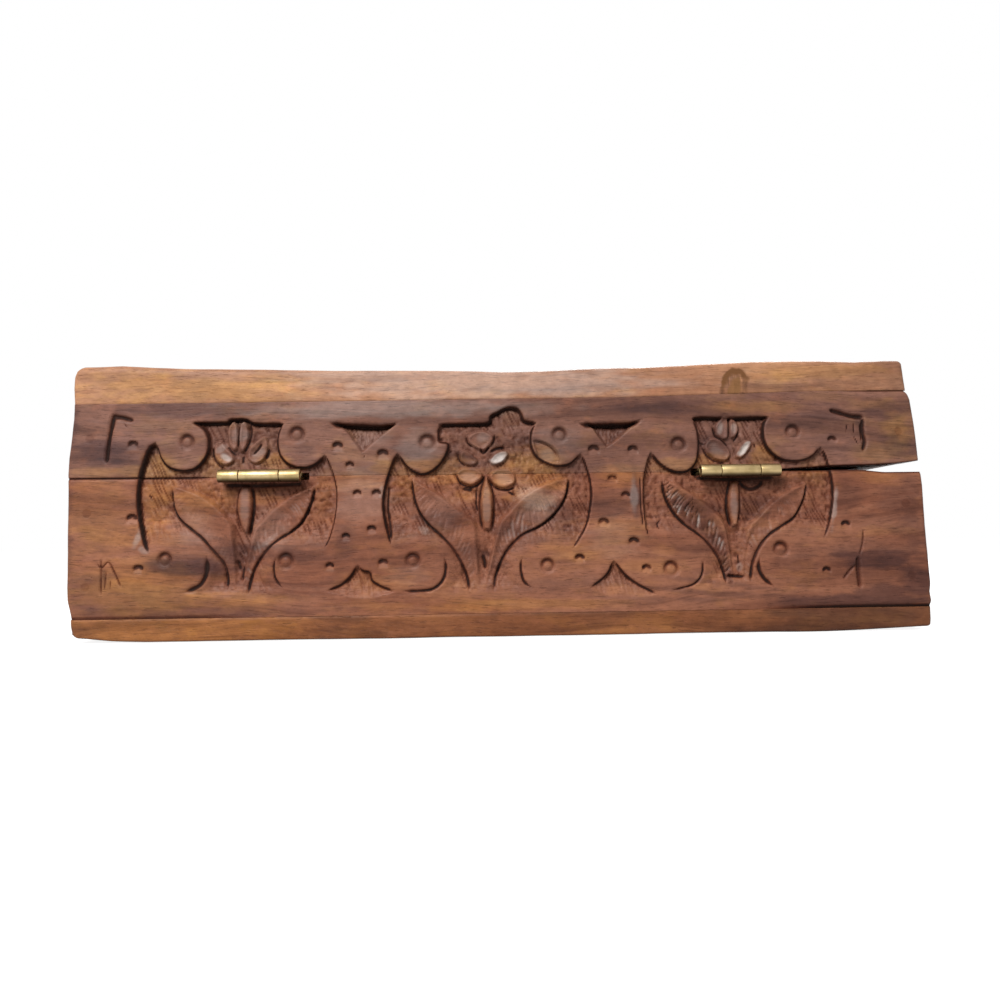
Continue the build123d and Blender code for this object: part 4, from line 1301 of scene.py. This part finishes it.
tray_seam = np.minimum(with_gains(back_across, math.inf, gain_floor), tray_rim(back_across))
back_face = wall_face(back_across, joint_z, tray_seam, carve_step)
carve_long_side(Carving(back_face))
Carving(back_face).cuts(corner_cuts, 0.6)
tint_long_side(back_face)
filled_pins(back_face, corner_pins)
above_bottom = back_face.z - joint_z
seam_worn = 0.6 * ease(back_face.u, 63, 72) + 0.85 * ease(-back_face.u, 64, 74)
open_joint(back_face, above_bottom, 0.6 * ease(back_face.u, -50, -72), depth=0.15, width=1.5)
open_joint(back_face, above_bottom, ease(back_face.u, 55, 80), depth=0.6, width=1.4)
open_joint(back_face, back_face.z[-1] - back_face.z, seam_worn, depth=0.45, width=0.7)
back_face.round_edges(0.6, 0.6, 0.02, 0.05)
back_face.wear()
finish_near_hinges(back_face)
tray_wood = wood(
    "tray rosewood", dark=(0.075, 0.024, 0.015), body=(0.232, 0.084, 0.047), pale=(0.36, 0.152, 0.088),
    streaks=0.4,
)
base_back = board(
    "base_back_wall_carved", back_face, wall_thickness, facing_back, (0, back_y, 0),
    cut=gain_reach, back_low=wall_low[2], back_high=tray_rim(back_across), bend=side_bend,
)
finish_with(base_back, tray_wood, "carved_wood", "base", "base_back_wall")

catch_z = sum(span_mm("catch_washer"))[2] / 2
stud_z = sum(span_mm("catch_stud"))[2] / 2
front_across = stations(-half_length, half_length, hidden_step)


def front_carving(face):
    """The front has the same pattern turned over, with its middle stem under the hook."""
    return Carving(face, (middle_stem, 0), (-1, 1))


def level_seat(face, z, radius):
    """A small round left standing under a screw, up to the board's full face."""
    share = ease(np.hypot(face.u, face.z - z), radius + 0.9, radius)
    face.depth *= 1 - share
    face.hollow *= 1 - share


front_face = wall_face(front_across, wall_low[2], wall_high[2], hidden_step)
carve_long_side(front_carving(front_face))
front_carving(front_face).cuts(front_brackets, 0.9)
filled_pins(front_face, corner_pins)
front_face.round_edges(0.9, 0.9, 0.3, 0.2)
front_face.wear()
level_seat(front_face, catch_z, 2.7)
base_front = board("base_front_wall_carved", front_face, wall_thickness, facing_front, (0, -back_y, 0))
finish_with(base_front, tray_wood, "carved_wood", "base", "base_front_wall")

end_half = back_y - wall_thickness
end_across = stations(-end_half, end_half, hidden_step, rim=0.6)
end_wood = wood(
    "end board rosewood", dark=(0.075, 0.025, 0.016), body=(0.22, 0.085, 0.048), pale=(0.34, 0.145, 0.08),
    streaks=0.5, shift=(0.2, 0.4, 0), turn=math.pi / 2,
)


def end_board(node, side, low, high, upper_round, material, body, back_low=None):
    """A board across one end, at +X where side is 1, worn in towards the back like the long boards."""
    axes, worn = (facing_right, left_end) if side > 0 else (facing_left, right_end)
    face = wall_face(end_across, low, high, hidden_step)
    carve_end(face)
    face.depth += between(face.z, worn) * ease(side * face.u, 5, 54)
    face.round_edges(0.1, 0.1, 0.3, upper_round)
    face.wear()
    piece = board(node + "_carved", face, wall_thickness, axes, (side * half_length, 0, 0), back_low=back_low)
    finish_with(piece, material, "carved_wood", body, node)


for node, side in (("base_right_wall", 1), ("base_left_wall", -1)):
    end_board(node, side, wall_low[2], wall_high[2], 0.2, end_wood, "base")

# The rails of the lid
# Four narrower boards of the same wood, joined the same way. The carving was cut with the lid
# shut, so the pattern runs over the seam. The lid is twisted and lifts off at one end.

rail_low, rail_high = span_mm("lid_back_rail")
lid_seat = leaf_low[2] + barrel_radius + play + leaf_thickness
lid_pin_height = 47.3
lid_pins = [(x, lid_pin_height) for x in (-corner_pin_x, corner_pin_x)]

# How far the seam lifts, and how the joint under the top board climbs, both along the back.
lifted_edge = [(65.5, -0.09), (68, 0.45), (78, 0.95), (90, 1.15), (95, 1.35), (101.5, 1.95)]
rail_joint = [(-101, -0.8), (-60, -0.7), (-40, -0.6), (30, -0.2), (60, 0.5), (75, 0.85), (101, 0.9)]


def lid_edge(across):
    """The height of the lid's lower edge along the back, which climbs at the lifted end."""
    return rail_low[2] + between(across, lifted_edge)


lid_seam = np.maximum(with_gains(back_across, -math.inf, lid_seat), lid_edge(back_across))
rail_face = wall_face(back_across, lid_seam, rail_high[2] + between(back_across, rail_joint), carve_step)
carve_long_side(Carving(rail_face))
tint_long_side(rail_face)
filled_pins(rail_face, lid_pins)
below_top = rail_face.z[-1] - rail_face.z
above_seam = rail_face.z - rail_face.z[0]
open_joint(rail_face, below_top, 0.7 * ease(rail_face.u, 76, 94), depth=0.5, width=0.6)
open_joint(rail_face, above_seam, 0.6 * ease(np.abs(rail_face.u), 63, 72), depth=0.3, width=0.4)
rail_face.round_edges(0.6, 0.6, 0.05, 0.02)
rail_face.wear()
finish_near_hinges(rail_face)
rail_wood = wood(
    "lid rail rosewood", dark=(0.058, 0.024, 0.019), body=(0.185, 0.082, 0.056), pale=(0.29, 0.14, 0.1),
    streaks=0.45, shift=(0.7, 0, 0),
)
lid_back = board(
    "lid_back_rail_carved", rail_face, wall_thickness, facing_back, (0, back_y, 0),
    cut=gain_reach, back_low=lid_edge(back_across), back_high=rail_high[2], bend=side_bend,
)
finish_with(lid_back, rail_wood, "carved_wood", "lid", "lid_back_rail")

rail_front_face = wall_face(front_across, lid_edge(-front_across), rail_high[2], hidden_step)
carve_long_side(front_carving(rail_front_face))
filled_pins(rail_front_face, lid_pins)
rail_front_face.round_edges(0.9, 0.9, 0.2, 0.2)
rail_front_face.wear()
level_seat(rail_front_face, stud_z, 1.5)
lid_front = board("lid_front_rail_carved", rail_front_face, wall_thickness, facing_front, (0, -back_y, 0))
finish_with(lid_front, rail_wood, "carved_wood", "lid", "lid_front_rail")

end_rail_wood = wood(
    "lid end rail rosewood", dark=(0.06, 0.025, 0.022), body=(0.19, 0.082, 0.058), pale=(0.3, 0.14, 0.1),
    streaks=0.45, shift=(0.5, 0.1, 0), turn=math.pi / 2,
)
for node, side in (("lid_right_rail", 1), ("lid_left_rail", -1)):
    inner_low = span_mm(node)[0][2]
    end_board(node, side, lid_edge(-side * half_length), rail_high[2], 0.25, end_rail_wood, "lid", inner_low)

# The top board
# A thicker board glued and pinned over the rails, flush all round. Its hinge edge is pale
# sapwood with a knot, planed by eye so that it dips in the middle. Its face has two rows of motifs.

top_low, top_high = span_mm("top_board")
top_thickness = top_high[2] - top_low[2]
facing_up = ((1, 0, 0), (0, 1, 0), (0, 0, 1))
row_shift = 3.9
row_size = 0.983
knot_x = -56.9
knot_z = 59.6
knot_half_width = 3.3
knot_height = 3.6

# How far the hinge edge's upper corner dips below the face, along the back.
top_dip = [
    (-98, 0.15), (-90, 0), (-82, 0.5), (-73, 0.8), (-65, 0.85), (-57, 1), (-49, 1.2), (-40, 1.4),
    (-24, 1.5), (-15, 1.6), (-7, 1.75), (1, 2.1), (10, 2), (18, 1.7), (27, 1.4), (35, 1.3), (44, 0.8),
    (52, 0.45), (61, 0.1), (69, 0), (78, 0.05), (86, 0.4), (95, 0.15),
]


def top_bend(u, v, w):
    """The hinge edge dips, its lower corner follows the joint, and the ends are worn in."""
    share = (w + top_thickness) / top_thickness
    dip = between(-u, top_dip) * ease(v, 40, 62) * share
    joint = between(-u, rail_joint) * ease(v, 54.6, 57.4) * (1 - share)
    lifted = (2.0 + 0.5 * share) * ease(v, 10, 60) * ease(u, -88, -100.7)
    left = between(w + top_high[2], left_end) * ease(v, 10, 60) * ease(u, 88, 101.5)
    return u + lifted - left, v, w - dip + joint


def sapwood(tree, place, colour):
    """Pale sapwood along the hinge edge and the knot in it."""
    xyz = add(tree, "ShaderNodeSeparateXYZ", Vector=place).outputs
    wave = noise(tree, stretched(tree, place, (18, 60, 60)), 1.0, 3.0)
    depth = plus(tree, xyz["Y"], times(tree, minus(tree, wave, 0.5), 0.02))
    pale = smooth_step(tree, depth, 0.043, 0.061)
    colour = mix(tree, pale, colour, mix(tree, 1.0, colour, (1.4, 1.46, 1.5), "MULTIPLY"))
    warp = noise(tree, stretched(tree, place, (230, 230, 230), (0.3, 0, 0)), 1.0, 3.0)
    across = maths(tree, "DIVIDE", minus(tree, xyz["X"], knot_x * MM), knot_half_width * MM)
    height = maths(tree, "DIVIDE", minus(tree, xyz["Z"], knot_z * MM), knot_height * MM)
    above = maths(tree, "MAXIMUM", height, 0.0)
    across = minus(tree, across, times(tree, minus(tree, above, height), 0.25))
    squares = plus(tree, maths(tree, "POWER", across, 2.0), maths(tree, "POWER", above, 2.0))
    radius = maths(tree, "SQRT", squares)
    radius = plus(tree, radius, times(tree, minus(tree, warp, 0.5), 1.1))
    near = smooth_step(tree, xyz["Y"], 0.052, 0.057)
    heart = times(tree, smooth_step(tree, radius, 1.15, 0.8), near)
    rays = noise(tree, stretched(tree, place, (900, 300, 160), (0.1, 0.2, 0)), 1.0, 3.0, 0.6)
    lit = minus(tree, rays, times(tree, across, 0.08))
    mottled = mix(tree, smooth_step(tree, lit, 0.36, 0.66), (0.4, 0.36, 0.36), (0.98, 0.94, 0.86))
    colour = mix(tree, heart, colour, mix(tree, 1.0, colour, mottled, "MULTIPLY"))
    core = smooth_step(tree, plus(tree, radius, times(tree, rays, 0.9)), 1.0, 0.7)
    colour = mix(tree, times(tree, times(tree, core, near), 0.7), colour, (0.25, 0.118, 0.042))
    ring = times(tree, smooth_step(tree, radius, 0.5, 0.78), smooth_step(tree, radius, 1.12, 0.95))
    upper = smooth_step(tree, plus(tree, height, times(tree, across, 0.35)), -0.55, 0.3)
    ring = times(tree, times(tree, ring, near), upper)
    return mix(tree, ring, colour, (0.17, 0.072, 0.027))


top_rows = slab_rows(top_low[1], top_high[1], top_thickness, radius=1.5, step=0.6, edge_step=0.42)
top_face = Face(stations(top_low[0], top_high[0], 0.6), top_rows[4][:, None])
for side in (1, -1):
    carve_row(Carving(top_face, (0, -side * row_shift), (side, side), row_size, ground=1.9, blunt=0.9))
for place in np.arange(-84, 85, 12):
    Carving(top_face).ring_punch(place, 0, 1.9)
    Carving(top_face).thumbnail(place + 6, 0, 1.3)
for x, y in board_pins:
    dent(top_face, x, y, pin_radius, 0.1, 0.3)
top_face.round_edges(1.0, 1.0, 0, 0)
top_face.wear(0.2)
# The pale patches across the middle of the hinge edge, (0, 67) and (20, 64), are painted sheen.
for layer, *patch in (
    ("warm", 70, 68, 35, 4, 0.6), ("warm", -75, 66, 30, 3, 0.4), ("dusk", -20, 69, 30, 1.2, 0.3),
    ("dusk", 40, 66, 25, 1.0, 0.35), ("dusk", -90, 67, 22, 5, 0.3), ("dusk", 84, 66, 24, 7, 0.22),
    ("dusk", -72, 70, 26, 2, 0.3), ("dusk", -97, 66, 9, 9, 0.35), ("pale", 0, 67, 55, 6, 0.2),
    ("pale", 20, 64, 45, 3, 0.15),
):
    top_face.tint(layer, *patch)
top_wood = wood(
    "top board rosewood", dark=(0.09, 0.036, 0.02), body=(0.265, 0.118, 0.063), pale=(0.38, 0.185, 0.1),
    streaks=0.28, shift=(0.9, 0, 0), extra=sapwood,
)
top_board = slab(
    "top_board_carved", top_face, top_rows, top_thickness, facing_up, (0, 0, top_high[2]), top_bend
)
finish_with(top_board, top_wood, "top_wood", "lid", "top_board")

# The panel pins
# Steel wire pins through the boards into the end grain and up into the walls, punched in below
# the face. Those in the carved sides and the top are filled over, so only a faint round shows.


def fastener_group():
    """A Geometry Nodes tree that sets one fastener on each point, turned at random about its axis."""
    group = bpy.data.node_groups.new("fasteners on points", "GeometryNodeTree")
    sockets = {}
    for label, kind in (
        ("Geometry", "Geometry"), ("Head Radius", "Float"), ("Head Height", "Float"),
        ("Shank Radius", "Float"), ("Length", "Float"), ("Turn", "Vector"), ("Seed", "Int"),
        ("Material", "Material"),
    ):
        socket = group.interface.new_socket(label, in_out="INPUT", socket_type="NodeSocket" + kind)
        sockets[label] = socket.identifier
    group.interface.new_socket("Geometry", in_out="OUTPUT", socket_type="NodeSocketGeometry")
    start = add(group, "NodeGroupInput").outputs
    reach = minus(group, start["Length"], start["Head Height"])
    both = add(group, "GeometryNodeJoinGeometry")
    for corners, radius, tall, middle in (
        (28, start["Head Radius"], start["Head Height"], times(group, start["Head Height"], -0.5)),
        (16, start["Shank Radius"], reach, minus(group, times(group, reach, -0.5), start["Head Height"])),
    ):
        rod = add(group, "GeometryNodeMeshCylinder", Vertices=corners, Radius=radius, Depth=tall)
        place = add(group, "ShaderNodeCombineXYZ", Z=middle).outputs[0]
        rod = add(group, "GeometryNodeTransform", Geometry=rod.outputs["Mesh"], Translation=place)
        group.links.new(rod.outputs[0], both.inputs[0])
    spin = add(group, "FunctionNodeRandomValue", {"data_type": "FLOAT"}, Seed=start["Seed"])
    spin.inputs[3].default_value = 2 * math.pi
    spun = add(group, "ShaderNodeCombineXYZ", Z=spin.outputs[1]).outputs[0]
    placed = add(group, "GeometryNodeInstanceOnPoints", Points=start["Geometry"], Instance=both.outputs[0])
    group.links.new(start["Turn"], placed.inputs["Rotation"])
    turned = add(group, "GeometryNodeRotateInstances", Instances=placed.outputs[0], Rotation=spun).outputs[0]
    real = add(group, "GeometryNodeRealizeInstances", Geometry=turned).outputs[0]
    real = add(group, "GeometryNodeSetMaterial", Geometry=real, Material=start["Material"]).outputs[0]
    group.links.new(real, add(group, "NodeGroupOutput").inputs[0])
    return group, sockets


fasteners, fastener_sockets = fastener_group()
pin_head_height = 0.5
pin_shank_radius = 0.6
pin_seed = 5


def set_pins(name, groups, material, length):
    """Pins on lists of places, each list with its own direction, made one plain mesh."""
    baked = []
    for number, (places, turn) in enumerate(groups):
        points = bpy.data.meshes.new(name + " places")
        points.from_pydata([Vector(place) * MM for place in places], [], [])
        holder = new_object(name + " places", points)
        modifier = holder.modifiers.new("pins", "NODES")
        modifier.node_group = fasteners
        for label, value in (
            ("Head Radius", pin_radius * MM), ("Head Height", pin_head_height * MM),
            ("Shank Radius", pin_shank_radius * MM), ("Length", length * MM), ("Turn", turn),
            ("Seed", pin_seed + number), ("Material", material),
        ):
            modifier[fastener_sockets[label]] = value
        graph = bpy.context.evaluated_depsgraph_get()
        baked.append(bpy.data.meshes.new_from_object(holder.evaluated_get(graph), depsgraph=graph))
        bpy.data.objects.remove(holder)
    return joined(name, baked)


def joined(name, meshes):
    """One object from several meshes."""
    corners = []
    faces = []
    smooth = []
    for mesh in meshes:
        faces += [[v + len(corners) for v in polygon.vertices] for polygon in mesh.polygons]
        smooth += [polygon.use_smooth for polygon in mesh.polygons]
        corners += [v.co[:] for v in mesh.vertices]
    whole = bpy.data.meshes.new(name)
    whole.from_pydata(corners, [], faces)
    whole.polygons.foreach_set("use_smooth", smooth)
    return new_object(name, whole)


def metal(name, colour, tarnish, roughness, shade_below=0.0):
    """A worn metal: slow tarnish, fine scratches, small dents, and painted shade along its lower side."""
    material, tree, shader, place = new_material(name)
    shader.inputs["Metallic"].default_value = 1.0
    slow = noise(tree, place, 260.0, 4.0, 0.6)
    fine = noise(tree, stretched(tree, place, (900, 5400, 5400)), 1.0, 3.0, 0.6)
    dents = noise(tree, place, 1100.0, 2.0, 0.5)
    tone = mix(tree, smooth_step(tree, slow, 0.38, 0.68), colour, tarnish)
    normal = add(tree, "ShaderNodeTexCoord").outputs["Normal"]
    facing = add(tree, "ShaderNodeSeparateXYZ", Vector=normal).outputs["Z"]
    # Painted shade: faces that point down go near black.
    lower = times(tree, smooth_step(tree, facing, -0.15, -0.75), shade_below)
    colour = mix(tree, lower, tone, (0.03, 0.018, 0.01))
    uneven = plus(tree, times(tree, slow, 0.16), times(tree, fine, 0.12))
    rough = plus(tree, uneven, roughness - 0.14)
    height = plus(tree, times(tree, fine, 0.4), dents)
    feed_shader(tree, shader, colour, rough, height, 0.35, 0.08 * MM)
    return material


steel = metal("pin steel", (0.36, 0.34, 0.32), (0.18, 0.13, 0.1), 0.42)
corner_pin_length = 19.0
board_pin_length = 17.0
top_sunk = 2.6


def through_long_boards(places):
    """Pins driven in through the back and through the front, as two rows with their own turns."""
    rows = []
    for side in (1, -1):
        row = [(x, side * (back_y - pin_sunk), z) for x, z in places]
        rows.append((row, (-side * math.pi / 2, 0, 0)))
    return rows


through_bottom = [([(x, y, pin_sunk) for x, y in board_pins], (math.pi, 0, 0))]
through_top = [([(x, y, top_high[2] - top_sunk) for x, y in board_pins], (0, 0, 0))]
for name, rows, length, body in (
    ("base_corner_pins", through_long_boards(corner_pins), corner_pin_length, "base"),
    ("lid_corner_pins", through_long_boards(lid_pins), corner_pin_length, "lid"),
    ("bottom_board_pins", through_bottom, board_pin_length, "base"),
    ("top_board_pins", through_top, board_pin_length, "lid"),
):
    pins = set_pins(name + "_wire", rows, steel, length)
    finish_with(pins, steel, "steel_pins", body, name)

# The hinges
# Two 19 mm brass butt hinges, let into the seam. Each is two stamped leaves whose ends are rolled
# into knuckles round a brass pin, tumbled to a satin, and fixed with two small slotted screws.

brass = metal("tumbled brass", (0.47, 0.35, 0.175), (0.31, 0.225, 0.1), 0.4, shade_below=0.9)
pin_brass = metal("hinge pin brass", (0.4, 0.31, 0.16), (0.24, 0.18, 0.1), 0.42, shade_below=0.9)
axis_y = leaf_high[1] - barrel_radius
axis_z = 38.1
knuckle_joint = 4.65


def turned(name, profile, centre_y, centre_z, steps=48):
    """A closed ring or plug turned about a line along X, from places along it and radii."""
    angles = np.linspace(0, 2 * math.pi, steps, endpoint=False)
    points = [(x, centre_y + r * math.cos(a), centre_z + r * math.sin(a)) for x, r in profile for a in angles]
    count = len(profile)
    faces = []
    for i in range(count):
        for j in range(steps):
            k = (j + 1) % steps
            n = (i + 1) % count
            faces.append((i * steps + j, i * steps + k, n * steps + k, n * steps + j))
    mesh = bpy.data.meshes.new(name)
    mesh.from_pydata((np.array(points) * MM).tolist(), [], faces)
    mesh.polygons.foreach_set("use_smooth", [True] * len(faces))
    return mesh


def knuckle(start, end):
    """A rolled knuckle with softened ends and a bore."""
    soft = 0.16
    r = barrel_radius
    bore = 0.72
    return turned("knuckle", [
        (start, bore), (start, r - soft), (start + soft * 0.3, r - soft * 0.3), (start + soft, r),
        ((start + end) / 2, r), (end - soft, r), (end - soft * 0.3, r - soft * 0.3), (end, r - soft),
        (end, bore),
    ], axis_y, axis_z)


def plate(x0, x1, y0, y1, z0, z1, soft=0.12):
    """A flat stamped plate with softened edges."""
    mesh = bpy.data.meshes.new("plate")
    points = []
    for z, inset in ((z0, soft), (z0 + soft, 0), (z1 - soft, 0), (z1, soft)):
        a, b, c, d = x0 + inset, x1 - inset, y0 + inset, y1 - inset
        points += [(a, c, z), (b, c, z), (b, d, z), (a, d, z)]
    faces = [(3, 2, 1, 0), (12, 13, 14, 15)]
    for level in (0, 4, 8):
        faces += [(level + i, level + (i + 1) % 4, level + 4 + (i + 1) % 4, level + 4 + i) for i in range(4)]
    mesh.from_pydata((np.array(points) * MM).tolist(), [], faces)
    return mesh


for side, x in (("left", -hinge_x), ("right", hinge_x)):
    outer = hinge_half
    inner = knuckle_joint - play
    base_top = axis_z - play
    base_span = (base_top - leaf_thickness, base_top)
    lid_span = (axis_z + play, axis_z + play + leaf_thickness)
    edge = back_y - play
    tongue = (edge - 0.4, axis_y - 0.75)
    outer_knuckles = ((x - outer, x - knuckle_joint - play), (x + knuckle_joint + play, x + outer))
    base_parts = [knuckle(*span) for span in outer_knuckles]
    base_parts.append(plate(x - outer, x + outer, leaf_low[1], edge, *base_span))
    base_parts += [plate(*span, *tongue, *base_span) for span in outer_knuckles]
    lid_parts = [
        knuckle(x - inner, x + inner), plate(x - outer, x + outer, leaf_low[1], edge, *lid_span),
        plate(x - inner, x + inner, *tongue, *lid_span),
    ]
    base_leaf = joined(side + "_hinge_base_leaf_rolled", base_parts)
    finish_with(base_leaf, brass, "hinge_brass", "base", side + "_hinge_base_leaf")
    lid_leaf = joined(side + "_hinge_lid_leaf_rolled", lid_parts)
    finish_with(lid_leaf, brass, "hinge_brass", "lid", side + "_hinge_lid_leaf")
    reach = hinge_half - 0.02
    wire = joined(side + "_hinge_pin_wire", [turned("pin", [
        (x - reach, 0.02), (x - reach, 0.45), (x - reach + 0.12, 0.66), (x - reach + 0.3, 0.7),
        (x + reach - 0.3, 0.7), (x + reach - 0.12, 0.66), (x + reach, 0.45), (x + reach, 0.02),
    ], axis_y, axis_z, 32)])
    finish_with(wire, pin_brass, "hinge_brass", "base", side + "_hinge_pin")
    for part in ("base", "lid"):
        for slot in bpy.data.objects[f"{side}_hinge_{part}_screws"].material_slots:
            slot.material = brass

# The catch
# A flat brass hook on a round-headed screw with a washer under it, and a screw in the lid's rail
# as its stud. Stamped and tumbled like the hinges.

catch_brass = metal("catch brass", (0.47, 0.355, 0.17), (0.32, 0.23, 0.1), 0.38)
for node in ("catch_hook", "catch_washer", "catch_pivot_screw", "catch_stud"):
    for slot in bpy.data.objects[node].material_slots:
        slot.material = catch_brass

# The setting
# A white floor and surroundings, a soft lamp above the hinge side and to the photograph's left,
# another over the front, and the camera low on the hinge side, as the photograph was taken.


def straight_rays(tree):
    """1 for rays that see a surface straight, in a mirror or through glass, and 0 for light."""
    seen = add(tree, "ShaderNodeLightPath").outputs
    mirrored = maths(tree, "MAXIMUM", seen["Is Glossy Ray"], seen["Is Transmission Ray"])
    return maths(tree, "MAXIMUM", seen["Is Camera Ray"], mirrored)


backdrop = bpy.data.materials.new("white floor")
backdrop.use_nodes = True
tree = backdrop.node_tree
tree.nodes.clear()
straight = straight_rays(tree)
paper = add(tree, "ShaderNodeBsdfDiffuse", Color=(0.42, 0.42, 0.42, 1))
glow = add(tree, "ShaderNodeEmission", Color=(0.89, 0.89, 0.89, 1), Strength=1.0)
both = add(tree, "ShaderNodeAddShader", i0=paper.outputs[0], i1=glow.outputs[0])
plain = add(tree, "ShaderNodeBsdfDiffuse", Color=(0.3, 0.3, 0.3, 1))
choice = add(tree, "ShaderNodeMixShader", i0=straight, i1=plain.outputs[0], i2=both.outputs[0])
add(tree, "ShaderNodeOutputMaterial", Surface=choice.outputs[0])
floor_mesh = bpy.data.meshes.new("floor")
half_floor = 6.0
floor_corners = [(x * half_floor, y * half_floor, 0) for x, y in ((-1, -1), (1, -1), (1, 1), (-1, 1))]
floor_mesh.from_pydata(floor_corners, [], [(0, 1, 2, 3)])
floor_mesh.materials.append(backdrop)
floor = new_object("floor", floor_mesh)

world = bpy.data.worlds.new("white room")
bpy.context.scene.world = world
world.use_nodes = True
tree = world.node_tree
tree.nodes.clear()
straight = straight_rays(tree)
soft = add(tree, "ShaderNodeBackground", Color=(1, 1, 1, 1), Strength=0.3)
white = add(tree, "ShaderNodeBackground", Color=(1, 1, 1, 1), Strength=1.0)
choice = add(tree, "ShaderNodeMixShader", i0=straight, i1=soft.outputs[0], i2=white.outputs[0])
add(tree, "ShaderNodeOutputWorld", Surface=choice.outputs[0])


def lamp(name, place, target, width, power):
    """A soft square lamp that points at a target."""
    data = bpy.data.lights.new(name, "AREA")
    data.size = width
    data.energy = power
    thing = new_object(name, data)
    thing.location = place
    thing.rotation_euler = (Vector(target) - Vector(place)).to_track_quat("-Z", "Y").to_euler()


lamp("hinge side lamp", (0.2, 0.5, 0.4), target=(0, 0.05, 0.03), width=0.26, power=4.0)
lamp("front lamp", (-0.2, -0.45, 0.46), target=(0, 0, 0.03), width=0.35, power=3.6)

eye = Vector((6.253, 268.633, 21.997)) * MM
yaw, pitch, roll = (math.radians(a) for a in (-1.6822, 6.6144, -0.7895))
focal_share = 0.8686
sensor = 36.0
forward = Vector((math.sin(yaw) * math.cos(pitch), -math.cos(yaw) * math.cos(pitch), math.sin(pitch)))
level = forward.cross(Vector((0, 0, 1))).normalized()
upright = level.cross(forward)
right_way = level * math.cos(roll) + upright * math.sin(roll)
up_way = upright * math.cos(roll) - level * math.sin(roll)
camera_data = bpy.data.cameras.new("camera")
camera_data.sensor_width = sensor
camera_data.lens = focal_share * sensor
camera_data.shift_y = -0.0587
camera_data.clip_start = 0.01
camera = new_object("camera", camera_data)
turn = [[right_way[i], up_way[i], -forward[i]] for i in range(3)]
camera.matrix_world = Matrix.Translation(eye) @ Matrix(turn).to_4x4()
bpy.context.scene.camera = camera
bpy.context.scene.view_settings.view_transform = "Standard"
